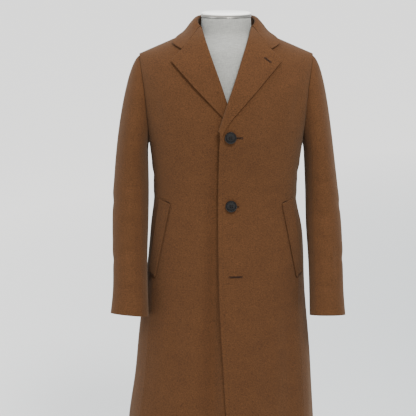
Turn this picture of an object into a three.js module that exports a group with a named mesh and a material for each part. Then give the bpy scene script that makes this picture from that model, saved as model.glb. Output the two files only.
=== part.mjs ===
import * as THREE from "three";

// A single-breasted wool overcoat with notch lapels, worn by a limbless dress form on a pole and foot.
// Millimetres, +Z up. The coat faces -Y and the wearer's left is +X.
// The origin is the centre of the foot's underside.
// Sides are +1 for the wearer's left and -1 for the wearer's right.

// Cloth
const WOOL = 2.6; // one layer of coating
const EDGE_WOOL = 4.2; // forepart and facing together, along the front edges
const LAPEL_WOOL = 3.2; // lapel and collar, two thin layers pressed together
const SEAM = 0.3; // gap between two pieces that are sewn together
const REST = 0.5; // gap under a piece that lies on another
const EDGE_FACING = { from: 0.34, full: 0.18, below: 60 }; // where the forepart thickens towards its edge

// Heights of the body
const HEM = 355;
const THIGH = 715;
const HIP = 965;
const UNDERARM = 1192;
const CHEST = 1240; // from here up the body curves over to the shoulder seams
const NECK_HEIGHT = 1510; // where the two shoulder lines would meet
const SHOULDER_FALL = 0.4326; // drop of the shoulder line for each millimetre outwards
const NECK_POINT = 79; // where the shoulder seam meets the collar
const SHOULDER_POINT = 216;
const NAPE_HEIGHT = 1475;

// Roundness of the sections: 2 is an ellipse, more is squarer
const CHEST_ROUND = 2.5;
const SKIRT_ROUND = 2.12;
const CROWN_ARC = 300; // level units from the chest line to the shoulder seam
const CROWN_ROUND = 2.6; // in the side view, from the chest over the shoulder
const SHOULDER_SPREAD = 1.11; // widening from the chest up to the shoulder
const ROUNDER_BELOW = 700; // the sections are at their roundest from here down

// Outer surface of the body by height: half width, sideways shift, and depths before and behind the middle
const BODY = [
  { z: 355, half: 254, shift: -11, front: 172, back: 170 },
  { z: 480, half: 244, shift: -10.5, front: 162, back: 160 },
  { z: 555, half: 234, shift: -6, front: 155, back: 153 },
  { z: 640, half: 227, shift: -4.5, front: 149, back: 147 },
  { z: 720, half: 219, shift: -4.5, front: 143, back: 141 },
  { z: 815, half: 207, shift: -2, front: 137, back: 134 },
  { z: 890, half: 201, shift: 0.5, front: 132, back: 128 },
  { z: 945, half: 197, shift: 2.5, front: 128, back: 122 },
  { z: 990, half: 192, shift: 1, front: 124, back: 116 },
  { z: 1040, half: 182, shift: -1.5, front: 120, back: 107 },
  { z: 1100, half: 182.5, shift: -1, front: 121, back: 106 },
  { z: 1150, half: 187.5, shift: 0, front: 125, back: 110 },
  { z: 1192, half: 193, shift: 0, front: 129, back: 115 },
  { z: 1240, half: 203, shift: 0, front: 131, back: 119 },
];

// Soft folds of the skirt: angle from the centre front, half breadth in degrees, height out, and where
// it fades
const FOLDS = [
  { side: -1, angle: 9, spread: 8, out: -11, fades: 1060 },
  { side: -1, angle: 27, spread: 12, out: 5, fades: 900 },
  { side: -1, angle: 76, spread: 12, out: -6, fades: 760 },
  { side: 1, angle: 20, spread: 13, out: 7, fades: 980 },
  { side: 1, angle: 44, spread: 11, out: -6, fades: 900 },
  { side: 1, angle: 78, spread: 11, out: -5, fades: 740 },
  { side: -1, angle: 128, spread: 13, out: 8, fades: 900 },
  { side: -1, angle: 155, spread: 11, out: -7, fades: 860 },
  { side: 1, angle: 122, spread: 12, out: 7, fades: 880 },
  { side: 1, angle: 150, spread: 12, out: -8, fades: 900 },
];
const FOLD_RADIUS = 190;

// Edge of the forepart that lies on top
const FRONT_EDGE = [
  { z: 355, x: 9 },
  { z: 513, x: 0.6 },
  { z: 740, x: -12.5 },
  { z: 878, x: -18 },
  { z: 1054, x: -20.5 },
  { z: 1220, x: -18 },
];
const OVERLAP = 52; // width of the lower forepart that is hidden under the upper one

// Side seam: it starts under the arm and runs forward, to this share of the half width
const SEAM_SHARE = 0.87;
const SEAM_SETTLES = 760;

// Armhole
const ARMHOLE_FRONT = 52; // depths of its lower curve before and behind the middle
const ARMHOLE_BACK = 60;
const ARMHOLE_HOLLOW = 4; // how far its upright part curves in

// Lapels: fold line and outline in the front view, as seen from the wearer's left side
const FOLD_SLOPE = 0.345;
const CROSSING = { x: 2, z: 1306 }; // where the two fold lines meet
const BREAK = 1240; // the lapel starts to turn here
const GORGE = 1479; // the fold line meets the collar here
const NOTCH = { x: 107, z: 1431 };
const LAPEL_TIP = { x: 133, z: 1406 };
const COLLAR_TIP = { x: 132, z: 1443 };
const GORGE_SEAM = 0.85; // upright gap between the lapel and the collar along their seam
const LAPEL_EDGE = [
  { t: 0, x: -15, z: 1222 },
  { t: 0.12, x: -5, z: 1243 },
  { t: 0.26, x: 12, z: 1270 },
  { t: 0.62, x: 68, z: 1334 },
  { t: 1, x: LAPEL_TIP.x, z: LAPEL_TIP.z },
];
const UNDER_LAPEL_EDGE = [
  { t: 0, x: 3, z: 1268 },
  { t: 0.3, x: 37, z: 1304 },
  { t: 0.62, x: 76, z: 1345 },
  { t: 1, x: LAPEL_TIP.x, z: LAPEL_TIP.z },
];
const UNDER_BREAK = 1292;
const NECK_TURN = 1400; // from here up the forepart's edge leaves the fold line for the neck point
const EDGE_BEND = 6; // softness of the forepart's corner where the front edge meets the fold line
const ROLL_LOFT = 3.5; // extra height of the soft roll along the fold
const LOFT = { low: 1.25, high: 0.8, start: 0.2, grown: 0.35, fall: 1.5 }; // how it varies up and across
const EDGE_CLEAR = 1.5; // from the middle of the roll to the edge of the forepart inside it

// The upper forepart lies on the lower one, and on the end of the other lapel
const LAYER_LIFT = EDGE_WOOL + REST;
const LAPEL_LIFT = 10;
const LIFT_WIDTH = { full: 36, none: 116 };
const LIFT_HEIGHTS = { low: 1130, from: 1225, to: 1330, gone: 1400, high: 1440 };
// The loose edge stands off the lower forepart, more so lower down
const EDGE_PROUD = { out: 5, top: 1080, bottom: 700, edge: -20, settles: 90 };

// Collar, by share of the way from the nape to the gorge: the fold, the foot of the stand and the outer edge
const COLLAR = [
  { at: 0, foldX: 0, foldY: 78, foldZ: 1503, footX: 0, footY: 69.5, footZ: 1480, edgeX: 0, edgeY: 93 },
  { at: 0.28, foldX: 43, foldY: 68, foldZ: 1503, footX: 39, footY: 59, footZ: 1480, edgeX: 56, edgeY: 84 },
  { at: 0.52, foldX: 68, foldY: 40, foldZ: 1502, footX: 61, footY: 36, footZ: 1482, edgeX: 89, edgeY: 59 },
  { at: 0.7, foldX: 75, foldY: 8, foldZ: 1498, footX: 68.5, footY: 8, footZ: 1482, edgeX: 105, edgeY: 24 },
  { at: 0.86, foldX: 74, foldY: -17, foldZ: 1489, footX: 68, footY: -13, footZ: 1478, edgeX: 118, edgeY: -9 },
];

// Sleeves, measured square to the front view: the middle and half depth of each ring, and its inner and
// outer reach
const SLEEVE = [
  { z: 1152, y: -3, depth: 78, rightIn: 195, rightOut: 280, leftIn: 197, leftOut: 276 },
  { z: 1075, y: -12, depth: 71, rightIn: 193.5, rightOut: 286, leftIn: 200.5, leftOut: 285.5 },
  { z: 988, y: -31, depth: 63, rightIn: 195, rightOut: 288.5, leftIn: 202, leftOut: 294 },
  { z: 899, y: -56, depth: 57, rightIn: 197.5, rightOut: 286.5, leftIn: 208, leftOut: 297 },
  { z: 822, y: -78, depth: 53, rightIn: 196, rightOut: 286, leftIn: 210, leftOut: 298.5 },
  { z: 767, y: -94, depth: 51, rightIn: 193.5, rightOut: 292, leftIn: 210.5, leftOut: 303 },
];
const CUFF_PITCH = 0.24; // rise of the cuff's front edge for each millimetre forward
const CUFF_TILT = { right: 0.1, left: 0.01 }; // and of its outer edge for each millimetre outwards
const PITCH_SETTLES = 880; // the rings are tilted so from here down
const HIND_SEAM = { armhole: -104, cuff: -56 }; // degrees round from the outermost line, forwards is positive
const FORE_SEAM = { armhole: 116, cuff: 134 };

// Pocket welts in the front view: both ends of the sewn front edge and of the open rear edge
const WELT = {
  topX: 138,
  topZ: 1052,
  lowX: 177,
  lowZ: 860,
  topRearX: 165,
  topRearZ: 1060,
  lowRearX: 194,
  lowRearZ: 868,
};
const WELT_REST = 1.1; // gap under a welt, which spans the curve of the front

// Buttons
const FRONT_BUTTON = { radius: 15, thick: 6.4, rim: 2.6, dish: 1.5, shank: 3.2, shankHeight: 1.4 };
const CUFF_BUTTON = { radius: 7.5, thick: 4.6, rim: 1.8, dish: 1, shank: 2.4, shankHeight: 0.8 };
const BUTTONS = [
  { name: "button_front_1", x: 9.6, z: 1228 },
  { name: "button_front_2", x: 11.8, z: 1054 },
];
const CUFF_BUTTONS = { count: 4, first: 853, pitch: 17, right: -30, left: -42 };
// Outline of a button, as shares of its radius, thickness and rim
const BUTTON_SHAPE = { underFace: 0.7, sideLow: 0.5, sideHigh: 0.75, rimOut: 0.4, rimIn: 1.5 };

// Dress form: the torso follows the inside of the coat and narrows to a round neck
const FORM = { bottom: 800, top: 1507, neck: 62, neckY: 4, ringOut: 0.8, ringTop: 1513, capTop: 1520 };
const CAP = { side: 2, shoulder: 4, shoulderAt: 0.93, crown: 1, crownAt: 0.6 };
// How far the form stays inside the coat's outer surface, by height, and how far it has narrowed to the neck
const FORM_SECTIONS = [
  { z: 800, inX: 62, inY: 46, neck: 0 },
  { z: 812, inX: 48, inY: 34, neck: 0 },
  { z: 850, inX: 36, inY: 26, neck: 0 },
  { z: 920, inX: 26, inY: 20, neck: 0 },
  { z: 985, inX: 22, inY: 17, neck: 0 },
  { z: 1045, inX: 17, inY: 14, neck: 0 },
  { z: 1110, inX: 18, inY: 14, neck: 0 },
  { z: 1192, inX: 20, inY: 14, neck: 0 },
  { z: 1250, inX: 25, inY: 15, neck: 0 },
  { z: 1300, inX: 29, inY: 15, neck: 0 },
  { z: 1350, inX: 33, inY: 16, neck: 0 },
  { z: 1385, inX: 39, inY: 16, neck: 0 },
  { z: 1405, inX: 47, inY: 15, neck: 0 },
  { z: 1422, inX: 33, inY: 13, neck: 0 },
  { z: 1436, inX: 12, inY: 12, neck: 0.02 },
  { z: 1450, inX: 8.5, inY: 10, neck: 0.2 },
  { z: 1464, inX: 8.5, inY: 10, neck: 0.72 },
  { z: 1478, inX: 9, inY: 10, neck: 1 },
  { z: 1507, inX: 9, inY: 10, neck: 1 },
];
const POLE = { radius: 15, flange: 42, flangeThick: 8 };
const FOOT = { radius: 190, thick: 14, edge: 3 };
const HUB = { radius: 26, height: 34, flare: 6, flareRise: 2, neckRise: 8, taper: 4 };

// Cells of the meshes
const CELLS = {
  front: 11,
  back: 12,
  skirt: 5,
  hip: 5,
  waist: 7,
  underarm: 5,
  chest: 9,
  armholeUpper: 24,
  armholeLower: 16,
  roll: 4,
  lapelFace: 8,
  lapelLength: 14,
  collarLeg: 2,
  collarFace: 7,
  collarLength: 26,
  sleeveTop: 10,
  sleeveUnder: 7,
  sleeveHead: 9,
  arm: 11,
  weltAcross: 2,
  weltLength: 8,
  frontButton: 20,
  cuffButton: 12,
  form: 30,
  neck: 40,
  pole: 24,
  foot: 36,
};
const NEAR = 0.01; // a short step along a surface or a line, as a share

// Colours, roughness and metalness of the materials
const FINISH = {
  wool: { color: 0x74492d, roughness: 0.95, metalness: 0 },
  horn: { color: 0x1d1715, roughness: 0.3, metalness: 0 },
  linen: { color: 0xc9cac6, roughness: 0.9, metalness: 0 },
  cap: { color: 0xf1f1ee, roughness: 0.5, metalness: 0 },
  steel: { color: 0x9a9c9e, roughness: 0.3, metalness: 1 },
};

const QUARTER = Math.PI / 2;
const HALF_TURN = Math.PI;
const coat = new THREE.Group();

// Small helpers
const mix = (a, b, t) => a + (b - a) * t;
const radians = THREE.MathUtils.degToRad;
const smooth = (from, to, value) => {
  const t = THREE.MathUtils.clamp((value - from) / (to - from), 0, 1);
  return t * t * (3 - 2 * t);
};

// A column of a table at any place between its rows, on a smooth curve through them
function read(table, key, column, place) {
  const last = table.length - 1;
  const at = THREE.MathUtils.clamp(place, table[0][key], table[last][key]);
  let row = 0;
  while (row < last - 1 && table[row + 1][key] < at) row += 1;
  const slope = (i) => {
    const low = Math.max(i - 1, 0);
    const high = Math.min(i + 1, last);
    return (table[high][column] - table[low][column]) / (table[high][key] - table[low][key]);
  };
  const span = table[row + 1][key] - table[row][key];
  const t = (at - table[row][key]) / span;
  const rise = table[row + 1][column] - table[row][column];
  const start = slope(row) * span;
  const end = slope(row + 1) * span;
  const curve = t * (start + t * (3 * rise - 2 * start - end + t * (start + end - 2 * rise)));
  return table[row][column] + curve;
}

// The unit superellipse in a direction, as its two parts
function round(angle, power) {
  const s = Math.sin(angle);
  const c = Math.cos(angle);
  const reach = (Math.abs(s) ** power + Math.abs(c) ** power) ** (-1 / power);
  return { across: s * reach, along: c * reach };
}

// The other part of the unit superellipse, and the angle for its first part
const other = (part, power) => Math.max(0, 1 - Math.abs(part) ** power) ** (1 / power);
const angleOf = (across, power) => Math.atan2(across, other(across, power));

const roundnessAt = (z) => mix(SKIRT_ROUND, CHEST_ROUND, smooth(ROUNDER_BELOW, UNDERARM, z));
const shoulderHeight = (x) => NECK_HEIGHT - SHOULDER_FALL * Math.abs(x);
const spreadAt = (rise) => 1 + (SHOULDER_SPREAD - 1) * Math.sin(rise * QUARTER);

function foldsAt(side, angle, z) {
  const degrees = Math.abs(THREE.MathUtils.radToDeg(angle));
  let out = 0;
  for (const fold of FOLDS) {
    const own = angle < 0 ? -side : side;
    if (fold.side !== own) continue;
    const across = smooth(1, 0, Math.abs(degrees - fold.angle) / fold.spread);
    out += fold.out * across * smooth(fold.fades, HEM, z);
  }
  return 1 + out / FOLD_RADIUS;
}

// The coat's outer surface. The angle runs from the centre front, 0, to the centre back.
// The level is a height up to the chest, and above it runs on along the curve to the shoulder seam.
function body(side, angle, level) {
  const z = Math.min(level, CHEST);
  const power = roundnessAt(z);
  const part = round(angle, power);
  const half = read(BODY, "z", "half", z);
  const depth = read(BODY, "z", part.along > 0 ? "front" : "back", z);
  const swell = foldsAt(side, angle, z);
  const x = side * half * part.across * swell;
  const y = -depth * part.along * swell;
  if (level <= CHEST) return new THREE.Vector3(x + read(BODY, "z", "shift", z), y, z);
  const crown = round(((level - CHEST) / CROWN_ARC) * QUARTER, CROWN_ROUND);
  const wide = x * spreadAt(Math.min(crown.across, 1));
  const height = CHEST + (shoulderHeight(wide) - CHEST) * crown.across;
  return new THREE.Vector3(wide, y * crown.along, height);
}

// Outward normal of any surface of two values
function normalOf(surface, a, b, stepA, stepB) {
  const alongA = surface(a + stepA, b).sub(surface(a - stepA, b));
  const alongB = surface(a, b + stepB).sub(surface(a, b - stepB));
  return alongA.cross(alongB).normalize();
}

function bodyNormal(side, angle, level) {
  const step = { angle: 0.004, level: 0.8 };
  return normalOf((a, b) => body(side, a, b), angle, level, step.angle, step.level).multiplyScalar(side);
}

// Angle and level of the front surface where the front view shows x and z
function placeOnFront(side, x, z) {
  if (z <= CHEST) {
    const share = (side * (x - read(BODY, "z", "shift", z))) / read(BODY, "z", "half", z);
    return { angle: angleOf(share, roundnessAt(z)), level: z };
  }
  const rise = Math.min(1, (z - CHEST) / (shoulderHeight(x) - CHEST));
  const share = (side * x) / spreadAt(rise) / read(BODY, "z", "half", CHEST);
  const level = CHEST + (angleOf(rise, CROWN_ROUND) / QUARTER) * CROWN_ARC;
  return { angle: angleOf(Math.min(share, 1), CHEST_ROUND), level };
}

// A point above the front surface, seen at x and z in the front view
function overFront(side, x, z, out) {
  const place = placeOnFront(side, x, z);
  const point = body(side, place.angle, place.level);
  return point.addScaledVector(bodyNormal(side, place.angle, place.level), out);
}

// A closed wall from a surface of two shares, 0 to 1, and its thickness
function wall(surface, columns, rows, thick) {
  const outer = [];
  const inner = [];
  const step = 0.001;
  for (const r of rows) {
    for (const c of columns) {
      const point = surface(c, r);
      const normal = normalOf(surface, c, r, step, step);
      outer.push(point);
      inner.push(point.clone().addScaledVector(normal, -thick(c, r)));
    }
  }
  return closed(outer, inner, columns.length, rows.length);
}

// The mesh between two grids of points that share their outline
function closed(outer, inner, width, height) {
  const count = width * height;
  const index = [];
  const quad = (a, b, c, d) => index.push(a, b, c, a, c, d);
  for (let r = 0; r < height - 1; r += 1) {
    for (let c = 0; c < width - 1; c += 1) {
      const a = r * width + c;
      quad(a, a + 1, a + width + 1, a + width);
      quad(count + a + width, count + a + width + 1, count + a + 1, count + a);
    }
  }
  const rim = [];
  for (let c = 0; c < width - 1; c += 1) rim.push(c);
  for (let r = 0; r < height - 1; r += 1) rim.push(r * width + width - 1);
  for (let c = width - 1; c > 0; c -= 1) rim.push((height - 1) * width + c);
  for (let r = height - 1; r > 0; r -= 1) rim.push(r * width);
  rim.forEach((a, i) => {
    const b = rim[(i + 1) % rim.length];
    quad(b, a, count + a, count + b);
  });
  const geometry = new THREE.BufferGeometry();
  geometry.setAttribute("position", new THREE.BufferAttribute(positions([...outer, ...inner]), 3));
  geometry.setIndex(index);
  return facingOut(geometry);
}

const positions = (points) => new Float32Array(points.flatMap((p) => [p.x, p.y, p.z]));

// Turns the faces round where they enclose a negative volume
function facingOut(geometry) {
  const place = geometry.getAttribute("position");
  const index = geometry.getIndex().array;
  const corner = [new THREE.Vector3(), new THREE.Vector3(), new THREE.Vector3()];
  let volume = 0;
  for (let i = 0; i < index.length; i += 3) {
    corner.forEach((vector, k) => vector.fromBufferAttribute(place, index[i + k]));
    volume += corner[0].dot(corner[1].clone().cross(corner[2]));
  }
  if (volume < 0) geometry.setIndex(Array.from(index).reverse());
  geometry.computeVertexNormals();
  return geometry;
}

function add(name, geometry, finish, parent = coat) {
  const mesh = new THREE.Mesh(geometry, new THREE.MeshStandardMaterial(FINISH[finish]));
  mesh.name = name;
  parent.add(mesh);
  return mesh;
}

const shares = (count, bend = (t) => t) => Array.from({ length: count + 1 }, (_, i) => bend(i / count));
const named = (stem, side) => stem + (side > 0 ? "_left" : "_right");

// Levels between two heights, without the first
const levels = (count, from, to, bend) => shares(count, bend).slice(1).map((t) => mix(from, to, t));

// Rows of a body panel: hem to underarm, round the underarm curve, then chest to shoulder
const ROWS = [
  HEM,
  ...levels(CELLS.skirt, HEM, THIGH),
  ...levels(CELLS.hip, THIGH, HIP),
  ...levels(CELLS.waist, HIP, UNDERARM),
  ...levels(CELLS.underarm, UNDERARM, CHEST, (t) => 1 - Math.cos(t * QUARTER)),
  ...levels(CELLS.chest, CHEST, CHEST + CROWN_ARC),
];
const rowLevel = (share) => {
  const place = THREE.MathUtils.clamp(share * (ROWS.length - 1), 0, ROWS.length - 1);
  const row = Math.min(Math.floor(place), ROWS.length - 2);
  return mix(ROWS[row], ROWS[row + 1], place - row);
};

// Height that a level has at a place in the front view
function heightAt(level, x) {
  if (level <= CHEST) return level;
  const rise = round(((level - CHEST) / CROWN_ARC) * QUARTER, CROWN_ROUND).across;
  return CHEST + (shoulderHeight(x) - CHEST) * rise;
}

const ROUNDS = 6; // enough for a value that depends on itself to settle

// Angle on the front at a level, where the front view's x is given by the height
function angleForX(side, level, xAt) {
  let x = xAt(Math.min(level, CHEST));
  for (let turn = 0; turn < ROUNDS; turn += 1) x = xAt(heightAt(level, x));
  return placeOnFront(side, x, heightAt(level, x)).angle;
}

// The armhole's edge as an angle, in front of the middle (face -1) or behind it (face 1)
function armholeAngle(face, level) {
  const reach = face < 0 ? ARMHOLE_FRONT : ARMHOLE_BACK;
  const depth = read(BODY, "z", face < 0 ? "front" : "back", Math.min(level, CHEST));
  const start = other(reach / read(BODY, "z", face < 0 ? "front" : "back", CHEST), CHEST_ROUND);
  let front;
  if (level <= CHEST) {
    const fall = (CHEST - level) / (CHEST - UNDERARM);
    const along = (reach * Math.sqrt(Math.max(0, 1 - fall * fall))) / depth;
    front = angleOf(other(along, roundnessAt(level)), roundnessAt(level));
  } else {
    const startX = start * read(BODY, "z", "half", CHEST);
    const top = shoulderHeight(SHOULDER_POINT);
    front = angleForX(1, level, (z) => {
      const t = THREE.MathUtils.clamp((z - CHEST) / (top - CHEST), 0, 1);
      return mix(startX, SHOULDER_POINT, t) - ARMHOLE_HOLLOW * Math.sin(t * HALF_TURN);
    });
  }
  return face < 0 ? front : HALF_TURN - front;
}

function sideSeamAngle(level) {
  const seam = angleOf(SEAM_SHARE, SKIRT_ROUND);
  return mix(seam, QUARTER, smooth(SEAM_SETTLES, UNDERARM, level));
}

// Angle that a gap takes up on the surface, at the side seams and at the narrow nape
const GAP_RADIUS = { side: 320, nape: 70, sleeve: 80 };
const gapAngle = SEAM / GAP_RADIUS.side;
const backGapAngle = SEAM / GAP_RADIUS.nape;

// Fold line in the front view. The two are mirror images again where they reach the collar.
function foldX(side, z) {
  const aside = CROSSING.x * smooth(GORGE, CROSSING.z, z);
  return aside + side * FOLD_SLOPE * (z - CROSSING.z);
}

const ROLL = REST + LAPEL_WOOL + WOOL / 2; // radius of the roll before its loft

// Inner edge of a forepart: the front edge, then the fold line, then out to the neck point
function frontInnerX(side, z) {
  const edge = read(FRONT_EDGE, "z", "x", z);
  const lower = side > 0 ? edge : -(edge + OVERLAP);
  const folded = side * foldX(side, z) + ROLL + EDGE_CLEAR;
  const inner = smoothMax(lower, folded, EDGE_BEND);
  const neck = mix(inner, NECK_POINT, smooth(NECK_TURN, shoulderHeight(NECK_POINT), z));
  return side * Math.max(inner, neck);
}

const smoothMax = (a, b, soft) => (a + b + Math.sqrt((a - b) ** 2 + soft * soft)) / 2;

// How far the upper forepart is lifted off the body's surface
function liftAt(side, x, z) {
  if (side < 0) return 0;
  const across = smooth(LIFT_WIDTH.none, LIFT_WIDTH.full, x);
  const low = smooth(LIFT_HEIGHTS.low, LIFT_HEIGHTS.from, z);
  const high = smooth(LIFT_HEIGHTS.high, LIFT_HEIGHTS.to, z);
  const layer = LAYER_LIFT * smooth(LIFT_HEIGHTS.gone, LIFT_HEIGHTS.to, z);
  const loose = smooth(EDGE_PROUD.top, EDGE_PROUD.bottom, z) * smooth(EDGE_PROUD.settles, EDGE_PROUD.edge, x);
  return across * (layer + LAPEL_LIFT * low * high) + EDGE_PROUD.out * loose;
}

// Foreparts
function forepart(side) {
  return (c, r) => {
    const level = rowLevel(r);
    const inner = angleForX(side, level, (z) => frontInnerX(side, z));
    const outer = level < UNDERARM ? sideSeamAngle(level) : armholeAngle(-1, level);
    const angle = mix(inner, outer - gapAngle, c);
    const point = body(side, angle, level);
    const lift = liftAt(side, point.x, point.z);
    return point.addScaledVector(bodyNormal(side, angle, level), lift);
  };
}

// Adds a cloth piece. Its columns run from the wearer's right to left, so the right one's are turned round.
function addCloth(name, side, surface, columns, rows, thick) {
  const own = (c) => (side > 0 ? c : 1 - c);
  const along = side > 0 ? columns : columns.map(own).reverse();
  const shape = wall((c, r) => surface(own(c), r), along, rows, (c, r) => thick(own(c), r));
  add(name, shape, "wool");
}

const EDGE_BUNCH = 1.15;
const towardsEdge = (t) => t ** EDGE_BUNCH; // columns that are closer together towards the front edge
for (const side of [1, -1]) {
  const thick = (c, r) => {
    const near = smooth(EDGE_FACING.from, EDGE_FACING.full, c);
    return mix(WOOL, EDGE_WOOL, near * smooth(BREAK, BREAK - EDGE_FACING.below, rowLevel(r)));
  };
  const rows = shares(ROWS.length - 1);
  addCloth(named("front", side), side, forepart(side), shares(CELLS.front, towardsEdge), rows, thick);
}

// The back's upper edge: the shoulder seam, and the neckline between the neck points
function backTopLevel(angle) {
  const x = Math.abs(body(1, angle, CHEST).x);
  if (x >= NECK_POINT) return CHEST + CROWN_ARC;
  const rise = (NAPE_HEIGHT - CHEST) / (shoulderHeight(x) - CHEST);
  return CHEST + (angleOf(rise, CROWN_ROUND) / QUARTER) * CROWN_ARC;
}

// Backs, from the side seam round to the centre back seam
function backHalf(side) {
  return (c, r) => {
    const level = rowLevel(r);
    const outer = level < UNDERARM ? sideSeamAngle(level) : armholeAngle(1, level);
    const angle = mix(outer + gapAngle, HALF_TURN - backGapAngle, c);
    if (level <= CHEST) return body(side, angle, level);
    const climb = (level - CHEST) / CROWN_ARC;
    return body(side, angle, CHEST + climb * (backTopLevel(angle) - CHEST) - climb * SEAM);
  };
}

for (const side of [1, -1]) {
  const rows = shares(ROWS.length - 1);
  addCloth(named("back", side), side, backHalf(side), shares(CELLS.back), rows, () => WOOL);
}

// Lapels. Across, 0 to TURN is the roll round the forepart's edge and the rest is the visible face.
const TURN = 0.3;
const GORGE_SHARE = 0.15; // where the seam's direction is taken
const SLANT = 0.3; // how far the seam follows the gorge line where it runs round the roll
const SLANT_FADE = 6; // how soon below the gorge the roll is square again
const END_FADE = 4; // how soon below its straight end the lapel's rows are plain again
const LAPEL_TOP = { fold: GORGE, notch: NOTCH, tip: LAPEL_TIP };
const COLLAR_NOTCH = { x: NOTCH.x, z: NOTCH.z + GORGE_SEAM };
const COLLAR_END = { fold: GORGE + GORGE_SEAM, notch: COLLAR_NOTCH, tip: COLLAR_TIP };
const rollBase = (side, z) => side * (side * foldX(side, z) + ROLL);

// The straight end of a lapel or collar in the front view: along the gorge seam, then out to the tip
function endLine(side, end, share) {
  const startX = Math.abs(rollBase(side, end.fold));
  const gorge = Math.hypot(end.notch.x - startX, end.notch.z - end.fold);
  const free = Math.hypot(end.tip.x - end.notch.x, end.tip.z - end.notch.z);
  const turn = gorge / (gorge + free);
  const first = share < turn;
  const from = first ? { x: startX, z: end.fold } : end.notch;
  const to = first ? end.notch : end.tip;
  const t = first ? share / turn : (share - turn) / (1 - turn);
  return { x: side * mix(from.x, to.x, t), z: mix(from.z, to.z, t) };
}

// Height of the lapel's outer face over the forepart, lower towards its edge
function loftAt(share, t) {
  const most = ROLL_LOFT * mix(LOFT.low, LOFT.high, t) * mix(LOFT.start, 1, smooth(0, LOFT.grown, t));
  return most * Math.max(0, 1 - share) ** LOFT.fall + REST + LAPEL_WOOL;
}

// Direction out of the front surface, where the front view shows x and z
const outAt = (side, x, z) => overFront(side, x, z, 1).sub(overFront(side, x, z, 0)).normalize();

// Direction up along the fold line
function foldDirection(side, z) {
  const above = overFront(side, rollBase(side, z + 1), z + 1, 0);
  return above.sub(overFront(side, rollBase(side, z - 1), z - 1, 0)).normalize();
}

// Direction from the fold line along the gorge seam
function gorgeDirection(side, end) {
  const ahead = endLine(side, end, GORGE_SHARE);
  const start = overFront(side, rollBase(side, end.fold), end.fold, 0);
  return overFront(side, ahead.x, ahead.z, 0).sub(start).normalize();
}

// A direction across a roll. Where it is slanted it is longer, so that the roll keeps its radius.
function acrossRoll(toward, along, out) {
  const across = toward.clone().addScaledVector(out, -toward.dot(out));
  return across.divideScalar(across.clone().cross(along).length());
}

// The direction across the roll near the gorge seam: square to the fold, slanted towards the seam by a share
function acrossAtSeam(side, end, along, out, share) {
  const square = along.clone().cross(out).multiplyScalar(side);
  return square.lerp(acrossRoll(gorgeDirection(side, end), along, out), SLANT * share);
}

// The roll seen along the fold: from behind the forepart, round its edge, to the visible face
function roll(base, out, away, turn, top) {
  const radius = (top + REST + LAPEL_WOOL + WOOL) / 2;
  const angle = mix(HALF_TURN, 0, turn);
  const middle = top - radius;
  return base
    .clone()
    .addScaledVector(out, middle + radius * Math.cos(angle))
    .addScaledVector(away, -radius * Math.sin(angle));
}

function lapel(side) {
  const edge = side > 0 ? LAPEL_EDGE : UNDER_LAPEL_EDGE;
  const start = side > 0 ? BREAK : UNDER_BREAK;
  const flat = (share, t) => {
    const z = mix(start, GORGE, t);
    const x = rollBase(side, z);
    const edgeX = side * read(edge, "t", "x", t);
    const edgeZ = read(edge, "t", "z", t);
    const top = endLine(side, LAPEL_TOP, share);
    const topX = mix(rollBase(side, GORGE), side * LAPEL_TIP.x, share);
    const topZ = mix(GORGE, LAPEL_TIP.z, share);
    const pull = t ** END_FADE;
    return {
      x: mix(x, edgeX, share) + pull * (top.x - topX),
      z: mix(z, edgeZ, share) + pull * (top.z - topZ),
    };
  };
  return (c, t) => {
    const share = Math.max(0, (c - TURN) / (1 - TURN));
    const place = flat(share, t);
    const top = loftAt(share, t) + liftAt(side, place.x, place.z);
    if (c >= TURN) return overFront(side, place.x, place.z, top);
    const base = overFront(side, place.x, place.z, liftAt(side, place.x, place.z));
    const out = outAt(side, place.x, place.z);
    const along = foldDirection(side, place.z);
    const away = acrossAtSeam(side, LAPEL_TOP, along, out, t ** SLANT_FADE);
    return roll(base, out, away, c / TURN, loftAt(0, t));
  };
}

const LAPEL_COLUMNS = [0, ...levels(CELLS.roll, 0, TURN), ...levels(CELLS.lapelFace, TURN, 1)];
for (const side of [1, -1]) {
  const rows = shares(CELLS.lapelLength);
  addCloth(named("lapel", side), side, lapel(side), LAPEL_COLUMNS, rows, () => LAPEL_WOOL);
}

// Collar
const COLLAR_LEG = 0.15; // shares of the way across: the leg of the stand, then the roll, then the face
const COLLAR_FACE = 0.42;
const HALF_COLLAR = 120; // about the length of half the fold
const COLLAR_TOP = loftAt(0, 1);
const COLLAR_BULGE = 3;
const COLLAR_TUCK = 6; // how far its end reaches back behind the forepart
const COLLAR_CLEAR = REST + LAPEL_WOOL + 1.7; // the last part allows for the flats of the coarse mesh
// How it passes over into its straight end
const COLLAR_BLEND = { from: 0.62, foot: 0.58, edge: 0.9, seam: 10 };
const COLLAR_BUNCH = 0.3; // how far its rows are bunched towards the two ends
const STEEP = 0.985; // share of the rise past which the shoulder is edge on in the front view
const WITHIN = 0.995; // most of the half width that a point is taken to be at
const OVER_TOP = 1.2; // most of the rise that a point is taken to be at
const FIRST_RISE = 0.9;

// The depth of the body's section at the chest line, under a point above it
function depthUnder(point, rise) {
  const share = Math.abs(point.x) / spreadAt(rise) / read(BODY, "z", "half", CHEST);
  const depth = read(BODY, "z", point.y < 0 ? "front" : "back", CHEST);
  return depth * other(Math.min(share, WITHIN), CHEST_ROUND);
}

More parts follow.
